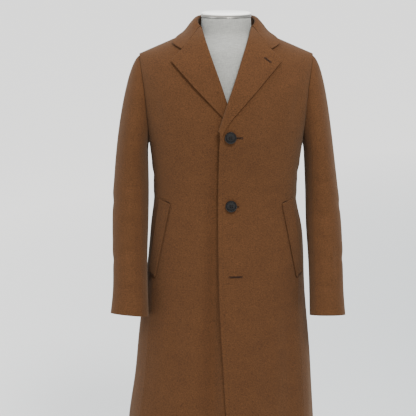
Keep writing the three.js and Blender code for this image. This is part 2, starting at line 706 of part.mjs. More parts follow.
// Moves a point that is above the chest line out to at least a distance from the body
function clearOf(point, distance) {
  const rise = Math.min(OVER_TOP, (point.z - CHEST) / (shoulderHeight(point.x) - CHEST));
  const depth = depthUnder(point, Math.min(1, rise));
  const scale = (Math.abs(point.y / depth) ** CROWN_ROUND + rise ** CROWN_ROUND) ** (1 / CROWN_ROUND);
  const length = Math.hypot(point.y, point.z - CHEST);
  const grow = Math.max(1, 1 / scale + distance / length);
  const moved = new THREE.Vector3(point.x, point.y * grow, CHEST + (point.z - CHEST) * grow);
  return rise > STEEP ? moved : squarelyClearOf(moved, distance);
}

// The same where the surface isn't seen edge on from the front, measured square to it
function squarelyClearOf(point, distance) {
  const side = Math.sign(point.x) || 1;
  const place = placeOnFront(side, point.x, point.z);
  const angle = point.y < 0 ? place.angle : HALF_TURN - place.angle;
  const normal = bodyNormal(side, angle, place.level);
  const gap = point.clone().sub(body(side, angle, place.level)).dot(normal);
  return point.addScaledVector(normal, Math.max(0, distance - gap));
}

// A point above the shoulders, seen at x and y from above
function overTop(x, y, out) {
  const point = new THREE.Vector3(x, y, 0);
  let rise = FIRST_RISE;
  for (let turn = 0; turn < ROUNDS; turn += 1) {
    rise = other(Math.abs(y) / depthUnder(point, rise), CROWN_ROUND);
  }
  point.z = CHEST + (shoulderHeight(x) - CHEST) * rise;
  return clearOf(point, out);
}

function collarEnd(side) {
  const base = overFront(side, rollBase(side, COLLAR_END.fold), COLLAR_END.fold, 0);
  const out = outAt(side, rollBase(side, COLLAR_END.fold), COLLAR_END.fold);
  const along = foldDirection(side, COLLAR_END.fold);
  const away = acrossAtSeam(side, COLLAR_END, along, out, 1);
  const tip = overFront(side, side * COLLAR_TIP.x, COLLAR_TIP.z, loftAt(1, 1));
  return { base, out, away, along: along.negate(), tip };
}

const END = collarEnd(1);
const COLLAR_ROWS = [
  ...COLLAR,
  {
    at: 1,
    foldX: END.base.x,
    foldY: END.base.y,
    foldZ: END.base.z,
    footX: END.base.x,
    footY: END.base.y,
    footZ: END.base.z,
    edgeX: END.tip.x,
    edgeY: END.tip.y,
  },
];

function collarPoint(name, side, t) {
  const at = Math.abs(t);
  const own = t < 0 ? -side : side;
  const value = (axis) => read(COLLAR_ROWS, "at", name + axis, at);
  return new THREE.Vector3(own * value("X"), value("Y"), value("Z"));
}

function collarOuter(side, t) {
  const x = side * read(COLLAR_ROWS, "at", "edgeX", t);
  const y = read(COLLAR_ROWS, "at", "edgeY", t);
  return overTop(x, y, COLLAR_CLEAR);
}

// The collar, from the foot of the stand over the fold to the outer edge, all round the neck
function collar(c, r) {
  const place = 1 - 2 * r;
  const side = place < 0 ? -1 : 1;
  const t = Math.min(1, Math.abs(place));
  const over = (Math.abs(place) - t) * HALF_COLLAR; // past the end, for the slope there
  const end = collarEnd(side);
  const near = smooth(COLLAR_BLEND.from, 1, t);
  const base = collarPoint("fold", side, t);
  const ahead = collarPoint("fold", side, Math.min(1, t + NEAR));
  const along = ahead.sub(collarPoint("fold", side, t - NEAR)).normalize();
  along.lerp(end.along, near).normalize();
  const edge = collarOuter(side, t).lerp(end.tip, smooth(COLLAR_BLEND.edge, 1, t));
  const toward = edge.clone().sub(base).normalize().lerp(end.away, near);
  const out = toward.clone().cross(along).multiplyScalar(-side).normalize();
  if (out.z < 0) out.negate();
  out.lerp(end.out, near).normalize();
  const away = acrossRoll(toward, along, out);
  base.addScaledVector(along, over);
  edge.addScaledVector(along, over);
  if (c < COLLAR_LEG) {
    const back = roll(base, out, away, 0, COLLAR_TOP);
    const tucked = back.clone().addScaledVector(away, COLLAR_TUCK);
    const foot = collarPoint("foot", side, t).lerp(tucked, smooth(COLLAR_BLEND.foot, 1, t));
    foot.addScaledVector(along, over);
    return foot.lerp(back, c / COLLAR_LEG);
  }
  if (c < COLLAR_FACE) {
    return roll(base, out, away, (c - COLLAR_LEG) / (COLLAR_FACE - COLLAR_LEG), COLLAR_TOP);
  }
  const share = (c - COLLAR_FACE) / (1 - COLLAR_FACE);
  const start = base.clone().addScaledVector(out, COLLAR_TOP);
  const point = start.clone().lerp(edge, share);
  point.addScaledVector(out, COLLAR_BULGE * Math.sin(share * HALF_TURN) * (1 - near));
  const seam = endLine(side, COLLAR_END, share);
  const bend = overFront(side, seam.x, seam.z, loftAt(share, 1));
  const chord = end.base.clone().addScaledVector(end.out, COLLAR_TOP).lerp(end.tip, share);
  point.addScaledVector(bend.sub(chord), t ** COLLAR_BLEND.seam);
  return clearOf(point, COLLAR_CLEAR);
}

const COLLAR_COLUMNS = [
  0,
  ...levels(CELLS.collarLeg, 0, COLLAR_LEG),
  ...levels(CELLS.roll, COLLAR_LEG, COLLAR_FACE),
  ...levels(CELLS.collarFace, COLLAR_FACE, 1),
];
const bunched = (t) => mix(t, (1 - Math.cos(t * HALF_TURN)) / 2, COLLAR_BUNCH);
const COLLAR_STATIONS = shares(CELLS.collarLength, bunched);
add("collar", wall(collar, COLLAR_COLUMNS, COLLAR_STATIONS, () => LAPEL_WOOL), "wool");

// Sleeves

// The armhole's edge on one side and face, as points at equal shares of its length from shoulder to underarm
function armholeLine(side, face) {
  const down = [
    ...shares(CELLS.armholeUpper).map((t) => CHEST + (1 - t) * CROWN_ARC),
    ...levels(CELLS.armholeLower, CHEST, UNDERARM, (t) => Math.sin(t * QUARTER)),
  ];
  const line = down.map((level) => {
    const angle = armholeAngle(face, level);
    const point = body(side, angle, level);
    const beyond = body(side, angle - NEAR * face, level).sub(point).normalize();
    return point.addScaledVector(bodyNormal(side, angle, level), SEAM).addScaledVector(beyond, SEAM);
  });
  return new THREE.CatmullRomCurve3(line);
}

// A ring of the sleeve. The angle is 0 at its outermost line and a right angle at its front.
function sleeveRing(side, angle, z) {
  const own = side > 0 ? "left" : "right";
  const inner = read(SLEEVE_UP, "z", own + "In", z);
  const outer = read(SLEEVE_UP, "z", own + "Out", z);
  const depth = read(SLEEVE_UP, "z", "depth", z);
  const forward = depth * Math.sin(angle);
  const outward = ((outer - inner) / 2) * Math.cos(angle);
  const rise = CUFF_PITCH * forward + CUFF_TILT[own] * outward;
  return new THREE.Vector3(
    side * ((inner + outer) / 2 + outward),
    read(SLEEVE_UP, "z", "y", z) - forward,
    z + rise * smooth(SLEEVE_TOP, PITCH_SETTLES, z),
  );
}

const SLEEVE_UP = [...SLEEVE].reverse();
const SLEEVE_TOP = SLEEVE[0].z;
const CUFF = SLEEVE[SLEEVE.length - 1].z;
const HEAD_SHARE = 0.4;
// How the sleeve leaves the armhole, over the shoulder and under the arm
const HEAD_START = { outTop: 88, outLow: 15, forward: 36, downTop: -30, downLow: -24, narrows: 1.4 };
const HEAD_SETTLES = 0.95; // how strongly it settles into its first ring

// A sleeve's surface: the angle, and the way down from the armhole, 0, to the cuff, 1
function sleeve(side) {
  const front = armholeLine(side, -1);
  const back = armholeLine(side, 1);
  return (angle, t) => {
    const down = (t - HEAD_SHARE) / (1 - HEAD_SHARE);
    if (down >= 0) return sleeveRing(side, angle, mix(SLEEVE_TOP, CUFF, down));
    const turn = THREE.MathUtils.euclideanModulo(angle + HALF_TURN, 2 * HALF_TURN) - HALF_TURN;
    const start = (turn > 0 ? front : back).getPointAt(Math.min(1, Math.abs(turn) / HALF_TURN));
    const end = sleeveRing(side, angle, SLEEVE_TOP);
    const outward = ((1 + Math.cos(angle)) / 2) ** HEAD_START.narrows;
    const leave = new THREE.Vector3(
      side * mix(HEAD_START.outLow, HEAD_START.outTop, outward),
      -HEAD_START.forward * Math.sin(angle),
      mix(HEAD_START.downLow, HEAD_START.downTop, outward),
    );
    const arrive = sleeveRing(side, angle, SLEEVE_TOP - 1).sub(end);
    arrive.multiplyScalar(start.distanceTo(end) * HEAD_SETTLES);
    const u = t / HEAD_SHARE;
    return start
      .multiplyScalar(2 * u ** 3 - 3 * u ** 2 + 1)
      .addScaledVector(leave, u ** 3 - 2 * u ** 2 + u)
      .addScaledVector(end, 3 * u ** 2 - 2 * u ** 3)
      .addScaledVector(arrive, u ** 3 - u ** 2);
  };
}

const ARMHOLE_BUNCH = 1.4;
const towardsArmhole = (t) => t ** ARMHOLE_BUNCH; // rows that are closer together towards the armhole
const SLEEVE_ROWS = [
  0,
  ...levels(CELLS.sleeveHead, 0, HEAD_SHARE, towardsArmhole),
  ...levels(CELLS.arm, HEAD_SHARE, 1),
];
const SEAMS_SETTLE = 0.85; // share of the way down at which the sleeve's seams reach their place at the cuff
const seamAngle = (seam, t) => radians(mix(seam.armhole, seam.cuff, smooth(0, SEAMS_SETTLE, t)));
const sleeveGap = SEAM / GAP_RADIUS.sleeve;

for (const side of [1, -1]) {
  const surface = sleeve(side);
  const pieces = [
    {
      stem: "sleeve_top",
      from: (t) => seamAngle(HIND_SEAM, t),
      to: (t) => seamAngle(FORE_SEAM, t),
      count: CELLS.sleeveTop,
    },
    {
      stem: "sleeve_under",
      from: (t) => seamAngle(FORE_SEAM, t),
      to: (t) => seamAngle(HIND_SEAM, t) + 2 * HALF_TURN,
      count: CELLS.sleeveUnder,
    },
  ];
  for (const piece of pieces) {
    const panel = (c, t) => surface(mix(piece.from(t) + sleeveGap, piece.to(t) - sleeveGap, c), t);
    addCloth(named(piece.stem, side), side, panel, shares(piece.count), SLEEVE_ROWS, () => WOOL);
  }
}

// Pocket welts
for (const side of [1, -1]) {
  const welt = (c, r) => {
    const x = side * mix(mix(WELT.lowX, WELT.topX, r), mix(WELT.lowRearX, WELT.topRearX, r), c);
    const z = mix(mix(WELT.lowZ, WELT.topZ, r), mix(WELT.lowRearZ, WELT.topRearZ, r), c);
    return overFront(side, x, z, liftAt(side, x, z) + WELT_REST + WOOL);
  };
  const columns = shares(CELLS.weltAcross);
  addCloth(named("pocket_welt", side), side, welt, columns, shares(CELLS.weltLength), () => WOOL);
}

// Buttons
function buttonShape(size, sides) {
  const profile = [
    [0, 0],
    [size.shank, 0],
    [size.shank, size.shankHeight],
    [size.radius * BUTTON_SHAPE.underFace, size.shankHeight],
    [size.radius, size.thick * BUTTON_SHAPE.sideLow],
    [size.radius, size.thick * BUTTON_SHAPE.sideHigh],
    [size.radius - size.rim * BUTTON_SHAPE.rimOut, size.thick],
    [size.radius - size.rim, size.thick],
    [size.radius - size.rim * BUTTON_SHAPE.rimIn, size.thick - size.dish],
    [0, size.thick - size.dish],
  ];
  return new THREE.LatheGeometry(profile.map(([r, h]) => new THREE.Vector2(r, h)), sides);
}

function addButton(name, shape, place, out) {
  const mesh = add(name, shape, "horn");
  mesh.position.copy(place);
  mesh.quaternion.setFromUnitVectors(new THREE.Vector3(0, 1, 0), out);
}

for (const button of BUTTONS) {
  const lift = liftAt(1, button.x, button.z);
  const place = overFront(1, button.x, button.z, lift + REST);
  addButton(button.name, buttonShape(FRONT_BUTTON, CELLS.frontButton), place, outAt(1, button.x, button.z));
}

for (const side of [1, -1]) {
  for (let i = 0; i < CUFF_BUTTONS.count; i += 1) {
    const z = CUFF_BUTTONS.first - i * CUFF_BUTTONS.pitch;
    const angle = radians(side > 0 ? CUFF_BUTTONS.left : CUFF_BUTTONS.right);
    const out = normalOf((a, h) => sleeveRing(side, a, h), angle, z, NEAR, -1).multiplyScalar(side);
    const place = sleeveRing(side, angle, z).addScaledVector(out, REST);
    addButton(named("button_cuff_" + (i + 1), side), buttonShape(CUFF_BUTTON, CELLS.cuffButton), place, out);
  }
}

// The coat's level section, as a point for a turn from the front
function levelSection(turn, z) {
  const across = Math.sin(turn);
  const front = Math.cos(turn) > 0;
  if (z <= CHEST) {
    const part = round(turn, roundnessAt(z));
    const depth = read(BODY, "z", front ? "front" : "back", z);
    return { x: read(BODY, "z", "half", z) * part.across, y: -depth * part.along };
  }
  const widest = read(BODY, "z", "half", CHEST) * SHOULDER_SPREAD;
  const reach = Math.min(widest, (NECK_HEIGHT - z) / SHOULDER_FALL);
  const x = reach * across;
  const rise = Math.min(1, (z - CHEST) / (shoulderHeight(x) - CHEST));
  const depth = depthUnder(new THREE.Vector3(x, front ? -1 : 1, z), rise);
  return { x, y: (front ? -1 : 1) * depth * other(rise, CROWN_ROUND) };
}

function formRing(section, turn) {
  const coatLine = levelSection(turn, section.z);
  const widest = Math.abs(levelSection(QUARTER, section.z).x);
  const deepest = Math.abs(levelSection(0, section.z).y);
  const x = coatLine.x * (1 - section.inX / widest);
  const y = coatLine.y * (1 - section.inY / deepest);
  const neckX = FORM.neck * Math.sin(turn);
  const neckY = FORM.neckY - FORM.neck * Math.cos(turn);
  return new THREE.Vector3(mix(x, neckX, section.neck), mix(y, neckY, section.neck), section.z);
}

function formTorso() {
  const points = [];
  const index = [];
  for (const section of FORM_SECTIONS) {
    for (let i = 0; i < CELLS.form; i += 1) points.push(formRing(section, (i / CELLS.form) * 2 * HALF_TURN));
  }
  const last = FORM_SECTIONS.length - 1;
  for (let row = 0; row < last; row += 1) {
    for (let i = 0; i < CELLS.form; i += 1) {
      const a = row * CELLS.form + i;
      const b = row * CELLS.form + ((i + 1) % CELLS.form);
      index.push(a, b, b + CELLS.form, a, b + CELLS.form, a + CELLS.form);
    }
  }
  const low = points.push(new THREE.Vector3(0, 0, FORM_SECTIONS[0].z)) - 1;
  const high = points.push(new THREE.Vector3(0, FORM.neckY, FORM_SECTIONS[last].z)) - 1;
  for (let i = 0; i < CELLS.form; i += 1) {
    const next = (i + 1) % CELLS.form;
    index.push(low, next, i, high, last * CELLS.form + i, last * CELLS.form + next);
  }
  const geometry = new THREE.BufferGeometry();
  geometry.setAttribute("position", new THREE.BufferAttribute(positions(points), 3));
  geometry.setIndex(index);
  return facingOut(geometry);
}

// A round piece standing upright, from its profile of radius and height
function turned(profile, sides) {
  const geometry = new THREE.LatheGeometry(profile.map(([r, z]) => new THREE.Vector2(r, z)), sides);
  return geometry.rotateX(QUARTER);
}

const form = new THREE.Group();
coat.add(form);
add("form_torso", formTorso(), "linen", form);

const ringRadius = FORM.neck + FORM.ringOut;
const ringShape = [
  [0, FORM.top + SEAM],
  [ringRadius, FORM.top + SEAM],
  [ringRadius, FORM.ringTop - SEAM],
  [0, FORM.ringTop - SEAM],
];
add("form_neck_ring", turned(ringShape, CELLS.neck), "steel", form).position.y = FORM.neckY;

const capShape = [
  [0, FORM.ringTop],
  [FORM.neck, FORM.ringTop],
  [FORM.neck, FORM.ringTop + CAP.side],
  [FORM.neck * CAP.shoulderAt, FORM.ringTop + CAP.shoulder],
  [FORM.neck * CAP.crownAt, FORM.capTop - CAP.crown],
  [0, FORM.capTop],
];
add("form_neck_cap", turned(capShape, CELLS.neck), "cap", form).position.y = FORM.neckY;

const hubTop = FOOT.thick + HUB.height;
const poleTop = FORM.bottom - SEAM;
const poleShape = [
  [0, hubTop + SEAM],
  [POLE.radius, hubTop + SEAM],
  [POLE.radius, poleTop - POLE.flangeThick],
  [POLE.flange, poleTop - POLE.flangeThick / 2],
  [POLE.flange, poleTop],
  [0, poleTop],
];
add("form_pole", turned(poleShape, CELLS.pole), "steel", form);

const footShape = [
  [0, 0],
  [FOOT.radius, 0],
  [FOOT.radius, FOOT.thick - FOOT.edge],
  [FOOT.radius - FOOT.edge, FOOT.thick],
  [HUB.radius + HUB.flare, FOOT.thick + HUB.flareRise],
  [HUB.radius, FOOT.thick + HUB.neckRise],
  [HUB.radius - HUB.taper, hubTop],
  [0, hubTop],
];
add("form_foot", turned(footShape, CELLS.foot), "steel", form);

export default coat;
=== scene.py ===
import math

import bmesh
import bpy
import numpy as np
from mathutils import Matrix, Vector
from mathutils.bvhtree import BVHTree


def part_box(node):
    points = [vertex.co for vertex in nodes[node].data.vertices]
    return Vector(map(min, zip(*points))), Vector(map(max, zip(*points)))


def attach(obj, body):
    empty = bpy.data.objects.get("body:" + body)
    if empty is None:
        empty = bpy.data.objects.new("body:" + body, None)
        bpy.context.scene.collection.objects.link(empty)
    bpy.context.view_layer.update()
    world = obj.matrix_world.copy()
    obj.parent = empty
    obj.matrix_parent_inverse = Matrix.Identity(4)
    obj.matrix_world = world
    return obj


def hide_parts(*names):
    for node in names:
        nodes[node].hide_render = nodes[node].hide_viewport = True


bl_info = {
    "name": "Wool overcoat on a dress form",
    "version": (1, 0, 0),
    "blender": (4, 5, 0),
    "location": "3D View > Sidebar > Overcoat",
    "description": "Dresses the packed overcoat in cloth, sewing, horn and linen, and sets up its studio",
    "category": "Object",
}

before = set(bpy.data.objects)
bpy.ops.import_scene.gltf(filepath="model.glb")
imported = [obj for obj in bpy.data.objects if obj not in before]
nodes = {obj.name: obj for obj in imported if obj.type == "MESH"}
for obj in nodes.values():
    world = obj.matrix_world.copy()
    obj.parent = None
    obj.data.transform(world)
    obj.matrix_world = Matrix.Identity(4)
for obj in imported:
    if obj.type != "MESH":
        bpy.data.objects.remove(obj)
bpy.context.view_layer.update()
MM = 0.001
SIDES = {"left": 1, "right": -1}

# The coat's own sizes, in millimetres, in the frame of the solids
CHEST = 1240
FRONT_EDGE = [(355, 9), (513, 0.6), (740, -12.5), (878, -18), (1054, -20.5), (1220, -18)]
LAPEL_EDGE = {
    "left": [(-18, 1216), (-5, 1243), (12, 1270), (68, 1334), (133, 1406), (107, 1431)],
    "right": [(-37, 1304), (-76, 1345), (-133, 1406), (-107, 1431)],
}
FOLD = {"slope": 0.345, "low": 1306, "flat": 14, "rise": 48}
# The centre back: its height, its sideways place and the half width of the coat there
CENTRE_BACK = [
    (355, -11, 254),
    (480, -10.5, 244),
    (555, -6, 234),
    (720, -4.5, 219),
    (815, -2, 207),
    (945, 2.5, 197),
    (1040, -1.5, 182),
    (1150, 0, 187.5),
    (1240, 0, 203),
]
BACK_GAP = {"per_half_width": 0.0043, "left": 0.2, "reach": 8}
NECK_BASE = {"height": 1458, "reach": 20, "in": 4}
WELT_FRONT = [(139, 1048), (176, 866)]
WELT_TOP = [(139, 1049), (164, 1057)]
# The sleeves' axes: height, sideways place of the left and of the right one, place from front to back
SLEEVE_AXIS = [
    (767, 257, -243, -94),
    (822, 254, -241, -78),
    (899, 252, -242, -56),
    (988, 248, -242, -31),
    (1152, 236, -237, -3),
    (1420, 208, -208, 4),
]
BUTTONHOLES = [(23, 1226, 31), (16, 1052.5, 29), (23, 877, 33)]
LAPEL_HOLE = ((91, 1416.5), (108, 1403.5))
HOLE_BREADTH = {"front": 3.4, "lapel": 2.8}
HOLE_BAR = 2.6
TACKS = [((177, 862), (192, 868)), ((139, 1054), (152, 1058))]
STITCHED_EDGE = (358, 1216, 12)

# Flat size in metres, area of the left and right panel in square metres, and how the cloth is held
PANELS = {
    "front": ((0.34, 1.15), {"left": 0.288, "right": 0.322}, "hung"),
    "back": ((0.38, 1.15), {"left": 0.345, "right": 0.352}, "hung"),
    "sleeve_top": ((0.25, 0.7), {"left": 0.105, "right": 0.116}, "hung"),
    "sleeve_under": ((0.19, 0.56), {"left": 0.072, "right": 0.08}, "hung"),
    "lapel": ((0.11, 0.27), {"left": 0.0169, "right": 0.0147}, "folded"),
    "pocket_welt": ((0.04, 0.2), {"left": 0.0072, "right": 0.0072}, "laid"),
}
CLOTH_LEVELS = 3
RIM_ANGLE = 58
INWARD = -0.35
UNLINED_EDGE = 80

# Radii of the rounding that the outward directions follow, in metres: across, front to back, upwards
BODY_ROUND = (0.2, 0.13, 0.27)
SLEEVE_ROUND = (0.05, 0.06)

# Heights over the cloth in metres, and thicknesses as shares of the buttonhole twist
# The slit height and thickness are for dark threads laid along the buttonholes' cuts, painted shade for the
# shadow in the slits
LIFT = {"loop": 0.0003, "slit": 0.0001, "bar": 0.0005}
THREAD = {"edge": 0.6, "pocket": 0.5, "slit": 1.3, "bar": 1.2}

# A button's form: heights as shares of its thickness, the rest as shares of its radius or its rim
BUTTON = {
    "radius": 0.94,
    "thick": 0.9,
    "lift": 0.03,
    "rim": [(0.55, 0.06), (0.5, 0), (0.45, -0.3)],
    "dish": (0.3, -0.05),
    "foot": (0.28, -0.02),
    "edge": 0.03,
    "holes": 0.17,
}
BUTTON_THREAD = {"pair": 0.11, "low": 0.45, "top": 0.86, "arch": 0.08, "thick": 0.075}

# The form's parts in metres. Steps are insets of a part's upper face, each with its rise.
BAND = {"lip": 0.0014, "waist": 0.988}
CAP = {"skirt": 0.003, "steps": [(0.006, 0.0022), (0.024, 0.0006)]}
POLE = {"radius": 0.015, "plate": 0.004, "spread": 2.8}
FOOT = {"radius": 0.19, "thick": 0.0125, "steps": [(0.158, 0.0035), (0.006, 0.006), (0.004, 0.026)]}

# Lights: place, size, share of the key light's power, and colour
LIGHTS = {
    "key": ((0.8, -2.7, 3.9), 0.8, 0.85, (1, 0.985, 0.96)),
    "side": ((-2.8, -1.2, 2.2), 1.8, 0.08, (0.94, 0.97, 1)),
}
LIGHTS_AIM = Vector((0, 0, 1))
FLOOR = {"size": 90, "height": -0.0006}

# Creases: the view they are seen in, points along them across and up, half breadth and depth
BODY_CREASES = [
    ("front", [(-30, 1180), (-70, 1196), (-120, 1226)], 13, 1.3),
    ("front", [(-36, 1120), (-82, 1128), (-140, 1118)], 12, 1.2),
    ("front", [(-44, 1066), (-86, 1078), (-118, 1072)], 10, 0.9),
    ("front", [(44, 1210), (88, 1196), (140, 1206)], 13, 1.1),
    ("front", [(50, 1098), (92, 1082), (150, 1096)], 12, 1.3),
    ("front", [(44, 1030), (78, 990), (104, 930)], 15, 1.5),
    ("front", [(104, 1010), (128, 960), (138, 890)], 14, 1.4),
    ("front", [(-62, 1000), (-96, 930), (-104, 850)], 17, 1.7),
    ("front", [(-130, 820), (-122, 700), (-136, 560)], 22, 2.4),
    ("front", [(74, 820), (92, 690), (96, 540)], 24, 2.4),
    ("front", [(150, 780), (158, 640), (176, 470)], 20, 2.2),
    ("front", [(-178, 1330), (-170, 1286), (-160, 1246)], 13, 2.0),
    ("front", [(180, 1338), (171, 1290), (164, 1240)], 13, 2.0),
    ("front", [(-192, 1392), (-158, 1376), (-120, 1372)], 14, 1.1),
    ("front", [(190, 1394), (160, 1374), (128, 1362)], 15, 1.2),
    ("back", [(-150, 1330), (-160, 1270), (-146, 1216)], 16, 2.4),
    ("back", [(152, 1340), (163, 1274), (150, 1208)], 17, 2.2),
    ("back", [(-96, 1398), (-10, 1384), (88, 1400)], 18, 1.6),
    ("back", [(-120, 1130), (-40, 1108), (34, 1120)], 14, 1.8),
    ("back", [(-20, 1070), (60, 1052), (130, 1078)], 15, 2.0),
    ("back", [(-140, 1044), (-86, 1034), (-30, 1042)], 12, 1.4),
    ("back", [(-104, 960), (-92, 800), (-110, 620)], 24, 2.8),
    ("back", [(66, 940), (88, 780), (84, 560)], 26, 3.0),
    ("back", [(150, 900), (160, 740), (178, 520)], 20, 2.2),
    ("left", [(-56, 1150), (-20, 1120), (36, 1126)], 12, 1.6),
    ("left", [(-40, 1064), (0, 1050), (48, 1062)], 11, 1.5),
    ("right", [(-50, 1140), (-6, 1112), (44, 1122)], 12, 1.7),
    ("right", [(-34, 1070), (12, 1046), (56, 1052)], 12, 1.3),
]
# The lower front falls back under the upper one's edge
EDGE_CREASES = {"front_right": [("front", [(-18, 1200), (-33, 790), (-22, 110)], 22, 14)]}
SLEEVE_CREASES = {
    "left": [
        ("front", [(214, 842), (246, 848), (286, 838)], 9, 1.6),
        ("front", [(216, 1040), (240, 1022), (262, 1030)], 13, 2.0),
        ("front", [(220, 985), (246, 962), (276, 972)], 14, 2.2),
        ("front", [(232, 930), (262, 912), (286, 922)], 12, 1.4),
        ("front", [(212, 1120), (232, 1104), (252, 1116)], 11, 1.2),
        ("front", [(274, 960), (277, 900), (273, 846)], 9, 1.8),
        ("left", [(-70, 1060), (-26, 1034), (26, 1052)], 14, 1.5),
        ("left", [(-104, 930), (-60, 906), (-14, 922)], 13, 1.6),
        ("back", [(216, 1010), (244, 984), (272, 996)], 15, 2.8),
        ("back", [(222, 940), (250, 926), (282, 944)], 12, 2.0),
        ("back", [(212, 1084), (238, 1070), (262, 1080)], 12, 1.7),
        ("back", [(216, 836), (250, 842), (286, 834)], 9, 1.4),
    ],
    "right": [
        ("front", [(-284, 840), (-246, 846), (-204, 836)], 9, 1.6),
        ("front", [(-270, 1024), (-240, 1004), (-210, 1016)], 13, 1.8),
        ("front", [(-278, 950), (-250, 934), (-214, 948)], 14, 1.9),
        ("front", [(-262, 1100), (-238, 1090), (-212, 1098)], 12, 1.3),
        ("front", [(-222, 1000), (-216, 930), (-220, 862)], 10, 1.5),
        ("right", [(-64, 1066), (-20, 1044), (30, 1050)], 14, 1.7),
        ("right", [(-100, 920), (-64, 902), (-20, 916)], 12, 1.4),
        ("back", [(-276, 1004), (-246, 980), (-214, 992)], 15, 2.7),
        ("back", [(-280, 934), (-248, 918), (-212, 930)], 13, 2.2),
        ("back", [(-264, 1090), (-238, 1072), (-212, 1082)], 11, 1.6),
        ("back", [(-284, 836), (-250, 842), (-208, 834)], 9, 1.5),
    ],
}
# A crease's section: its ends and fade along it, its first width and widening, how far the cloth has to
# face the view, and the height, place and width of its ridge
CREASE = {
    "ends": (0.02, 0.98),
    "fade": 0.8,
    "width": (0.75, 0.5),
    "facing": (0.12, 0.45),
    "ridge": (0.45, 1.7, 1.1),
}
VIEWS = {
    "front": ((0, 2), (0, -1, 0)),
    "back": ((0, 2), (0, 1, 0)),
    "left": ((1, 2), (1, 0, 0)),
    "right": ((1, 2), (-1, 0, 0)),
}


def linear(hex_colour):
    """The linear colour of an sRGB hex value"""
    parts = [int(hex_colour[i : i + 2], 16) / 255 for i in (0, 2, 4)]
    return tuple(p / 12.92 if p <= 0.04045 else ((p + 0.055) / 1.055) ** 2.4 for p in parts)


def colour_property(label, what, hex_colour):
    return bpy.props.FloatVectorProperty(
        name=label, description=what, subtype="COLOR", size=3, min=0, max=1, default=linear(hex_colour)
    )


def number_property(label, what, default, **settings):
    return bpy.props.FloatProperty(name=label, description=what, default=default, **settings)


def length_property(label, what, default, least=0):
    return number_property(label, what, default, min=least, unit="LENGTH")


class OvercoatCloth(bpy.types.PropertyGroup):
    wool: colour_property("Wool", "Colour of the coating", "482e1a")
    # Partly the wool's own darker tone, partly painted shade down between the tufts of the nap
    wool_dark_and_painted_shade: colour_property("Wool shade", "Colour down between the fibres", "2b1a0e")
    lining: colour_property("Lining", "Colour of the viscose lining", "3a2417")
    thread: colour_property("Thread", "Colour of the sewing thread", "190d06")
    tuft: length_property("Tuft", "Breadth of one tuft of the raised nap", 0.0028)
    creases: number_property("Creases", "Depth of the creases, 1 as worn", 1, min=0, max=2)
    rim: number_property("Rim", "Sharpness of the cloth's edges", 0.96, min=0, max=1, subtype="FACTOR")
    stitch: length_property("Stitch", "Length of a pick stitch", 0.0024)
    pitch: length_property("Pitch", "Distance from one pick stitch to the next", 0.0062)
    inset: length_property("Inset", "Distance of the stitching from the edge", 0.0105)
    twist: length_property("Twist", "Thickness of the buttonhole twist", 0.0011)
    stand_off: length_property("Stand-off", "Height of the lapels' outer edges over their flat lie", 0.003)


class OvercoatButtons(bpy.types.PropertyGroup):
    horn: colour_property("Horn", "Colour of the horn", "060505")
    rim: number_property("Rim", "Breadth of the rim, as a share of the radius", 0.17, min=0, max=0.5)
    hole: number_property("Hole", "Radius of a thread hole, as a share of the radius", 0.085, min=0, max=0.2)


class OvercoatForm(bpy.types.PropertyGroup):
    linen: colour_property("Linen", "Colour of the form's linen cover", "7e7e79")
    cap: colour_property("Cap", "Colour of the neck cap", "f4f3ee")
    steel: colour_property("Steel", "Colour of the brushed steel", "a3a5a6")
    band: colour_property("Band", "Colour of the neck band", "8d8a84")


class OvercoatStudio(bpy.types.PropertyGroup):
    lens: number_property("Lens", "Focal length of the camera in millimetres", 110.86, min=20)
    eye: bpy.props.FloatVectorProperty(
        name="Camera",
        description="Place of the camera",
        size=3,
        subtype="TRANSLATION",
        default=(-0.045, -3.2, 1.72),
    )
    tilt: number_property("Tilt", "How far the camera looks down", math.radians(12.3), subtype="ANGLE")
    key: number_property("Key", "Power of the key light", 265, unit="POWER")
    sky: number_property("Sky", "Strength of the light from overhead", 3.2)
    haze: number_property("Haze", "Strength of the light from level with the eye", 0.8)
    floor: colour_property("Floor", "Colour of the floor", "e7e4df")
    # Painted shade: the floor's darker colour in a round patch to the wearer's left, and the breadth of that
    # patch
    floor_painted_shade: colour_property("Floor near", "Colour of the floor where it is shaded", "7b8b93")
    shade: length_property("Shade", "Breadth of the shaded part of the floor", 6.5, 1)


# Materials


def add_node(tree, kind, inputs=None, links=None, **settings):
    """Adds a node, sets it up and joins outputs of other nodes to its inputs"""
    node = tree.nodes.new(kind)
    for name, value in settings.items():
        setattr(node, name, value)
    for name, value in (inputs or {}).items():
        node.inputs[name].default_value = value
    for name, output in (links or {}).items():
        tree.links.new(output, node.inputs[name])
    return node


def new_material(name, **shader_values):
    """A material with the shader's own values set, and its tree, shader and object coordinates"""
    made = bpy.data.materials.get(name)
    if made:
        bpy.data.materials.remove(made)
    made = bpy.data.materials.new(name)
    made.use_nodes = True
    tree = made.node_tree
    shader = tree.nodes["Principled BSDF"]
    for key, value in shader_values.items():
        socket = shader.inputs[key.replace("_", " ")]
        socket.default_value = (*value, 1) if socket.type == "RGBA" else value
    place = add_node(tree, "ShaderNodeTexCoord").outputs["Object"]
    return made, tree, shader, place


def noise(tree, place, size, detail=2, stretch=(1, 1, 1)):
    """Noise whose lumps are about that size in metres"""
    spread = add_node(tree, "ShaderNodeMapping", {"Scale": stretch}, {"Vector": place})
    return add_node(
        tree, "ShaderNodeTexNoise", {"Scale": 1 / size, "Detail": detail}, {"Vector": spread.outputs[0]}
    ).outputs["Fac"]


def between(tree, share, first, second, low=0.3, high=0.7):
    """A colour between two, by a share that is spread over the range from low to high"""
    ramp = add_node(tree, "ShaderNodeValToRGB", links={"Fac": share})
    ramp.color_ramp.elements[0].position = low
    ramp.color_ramp.elements[1].position = high
    ramp.color_ramp.elements[0].color = (*first, 1)
    ramp.color_ramp.elements[1].color = (*second, 1)
    return ramp.outputs["Color"]


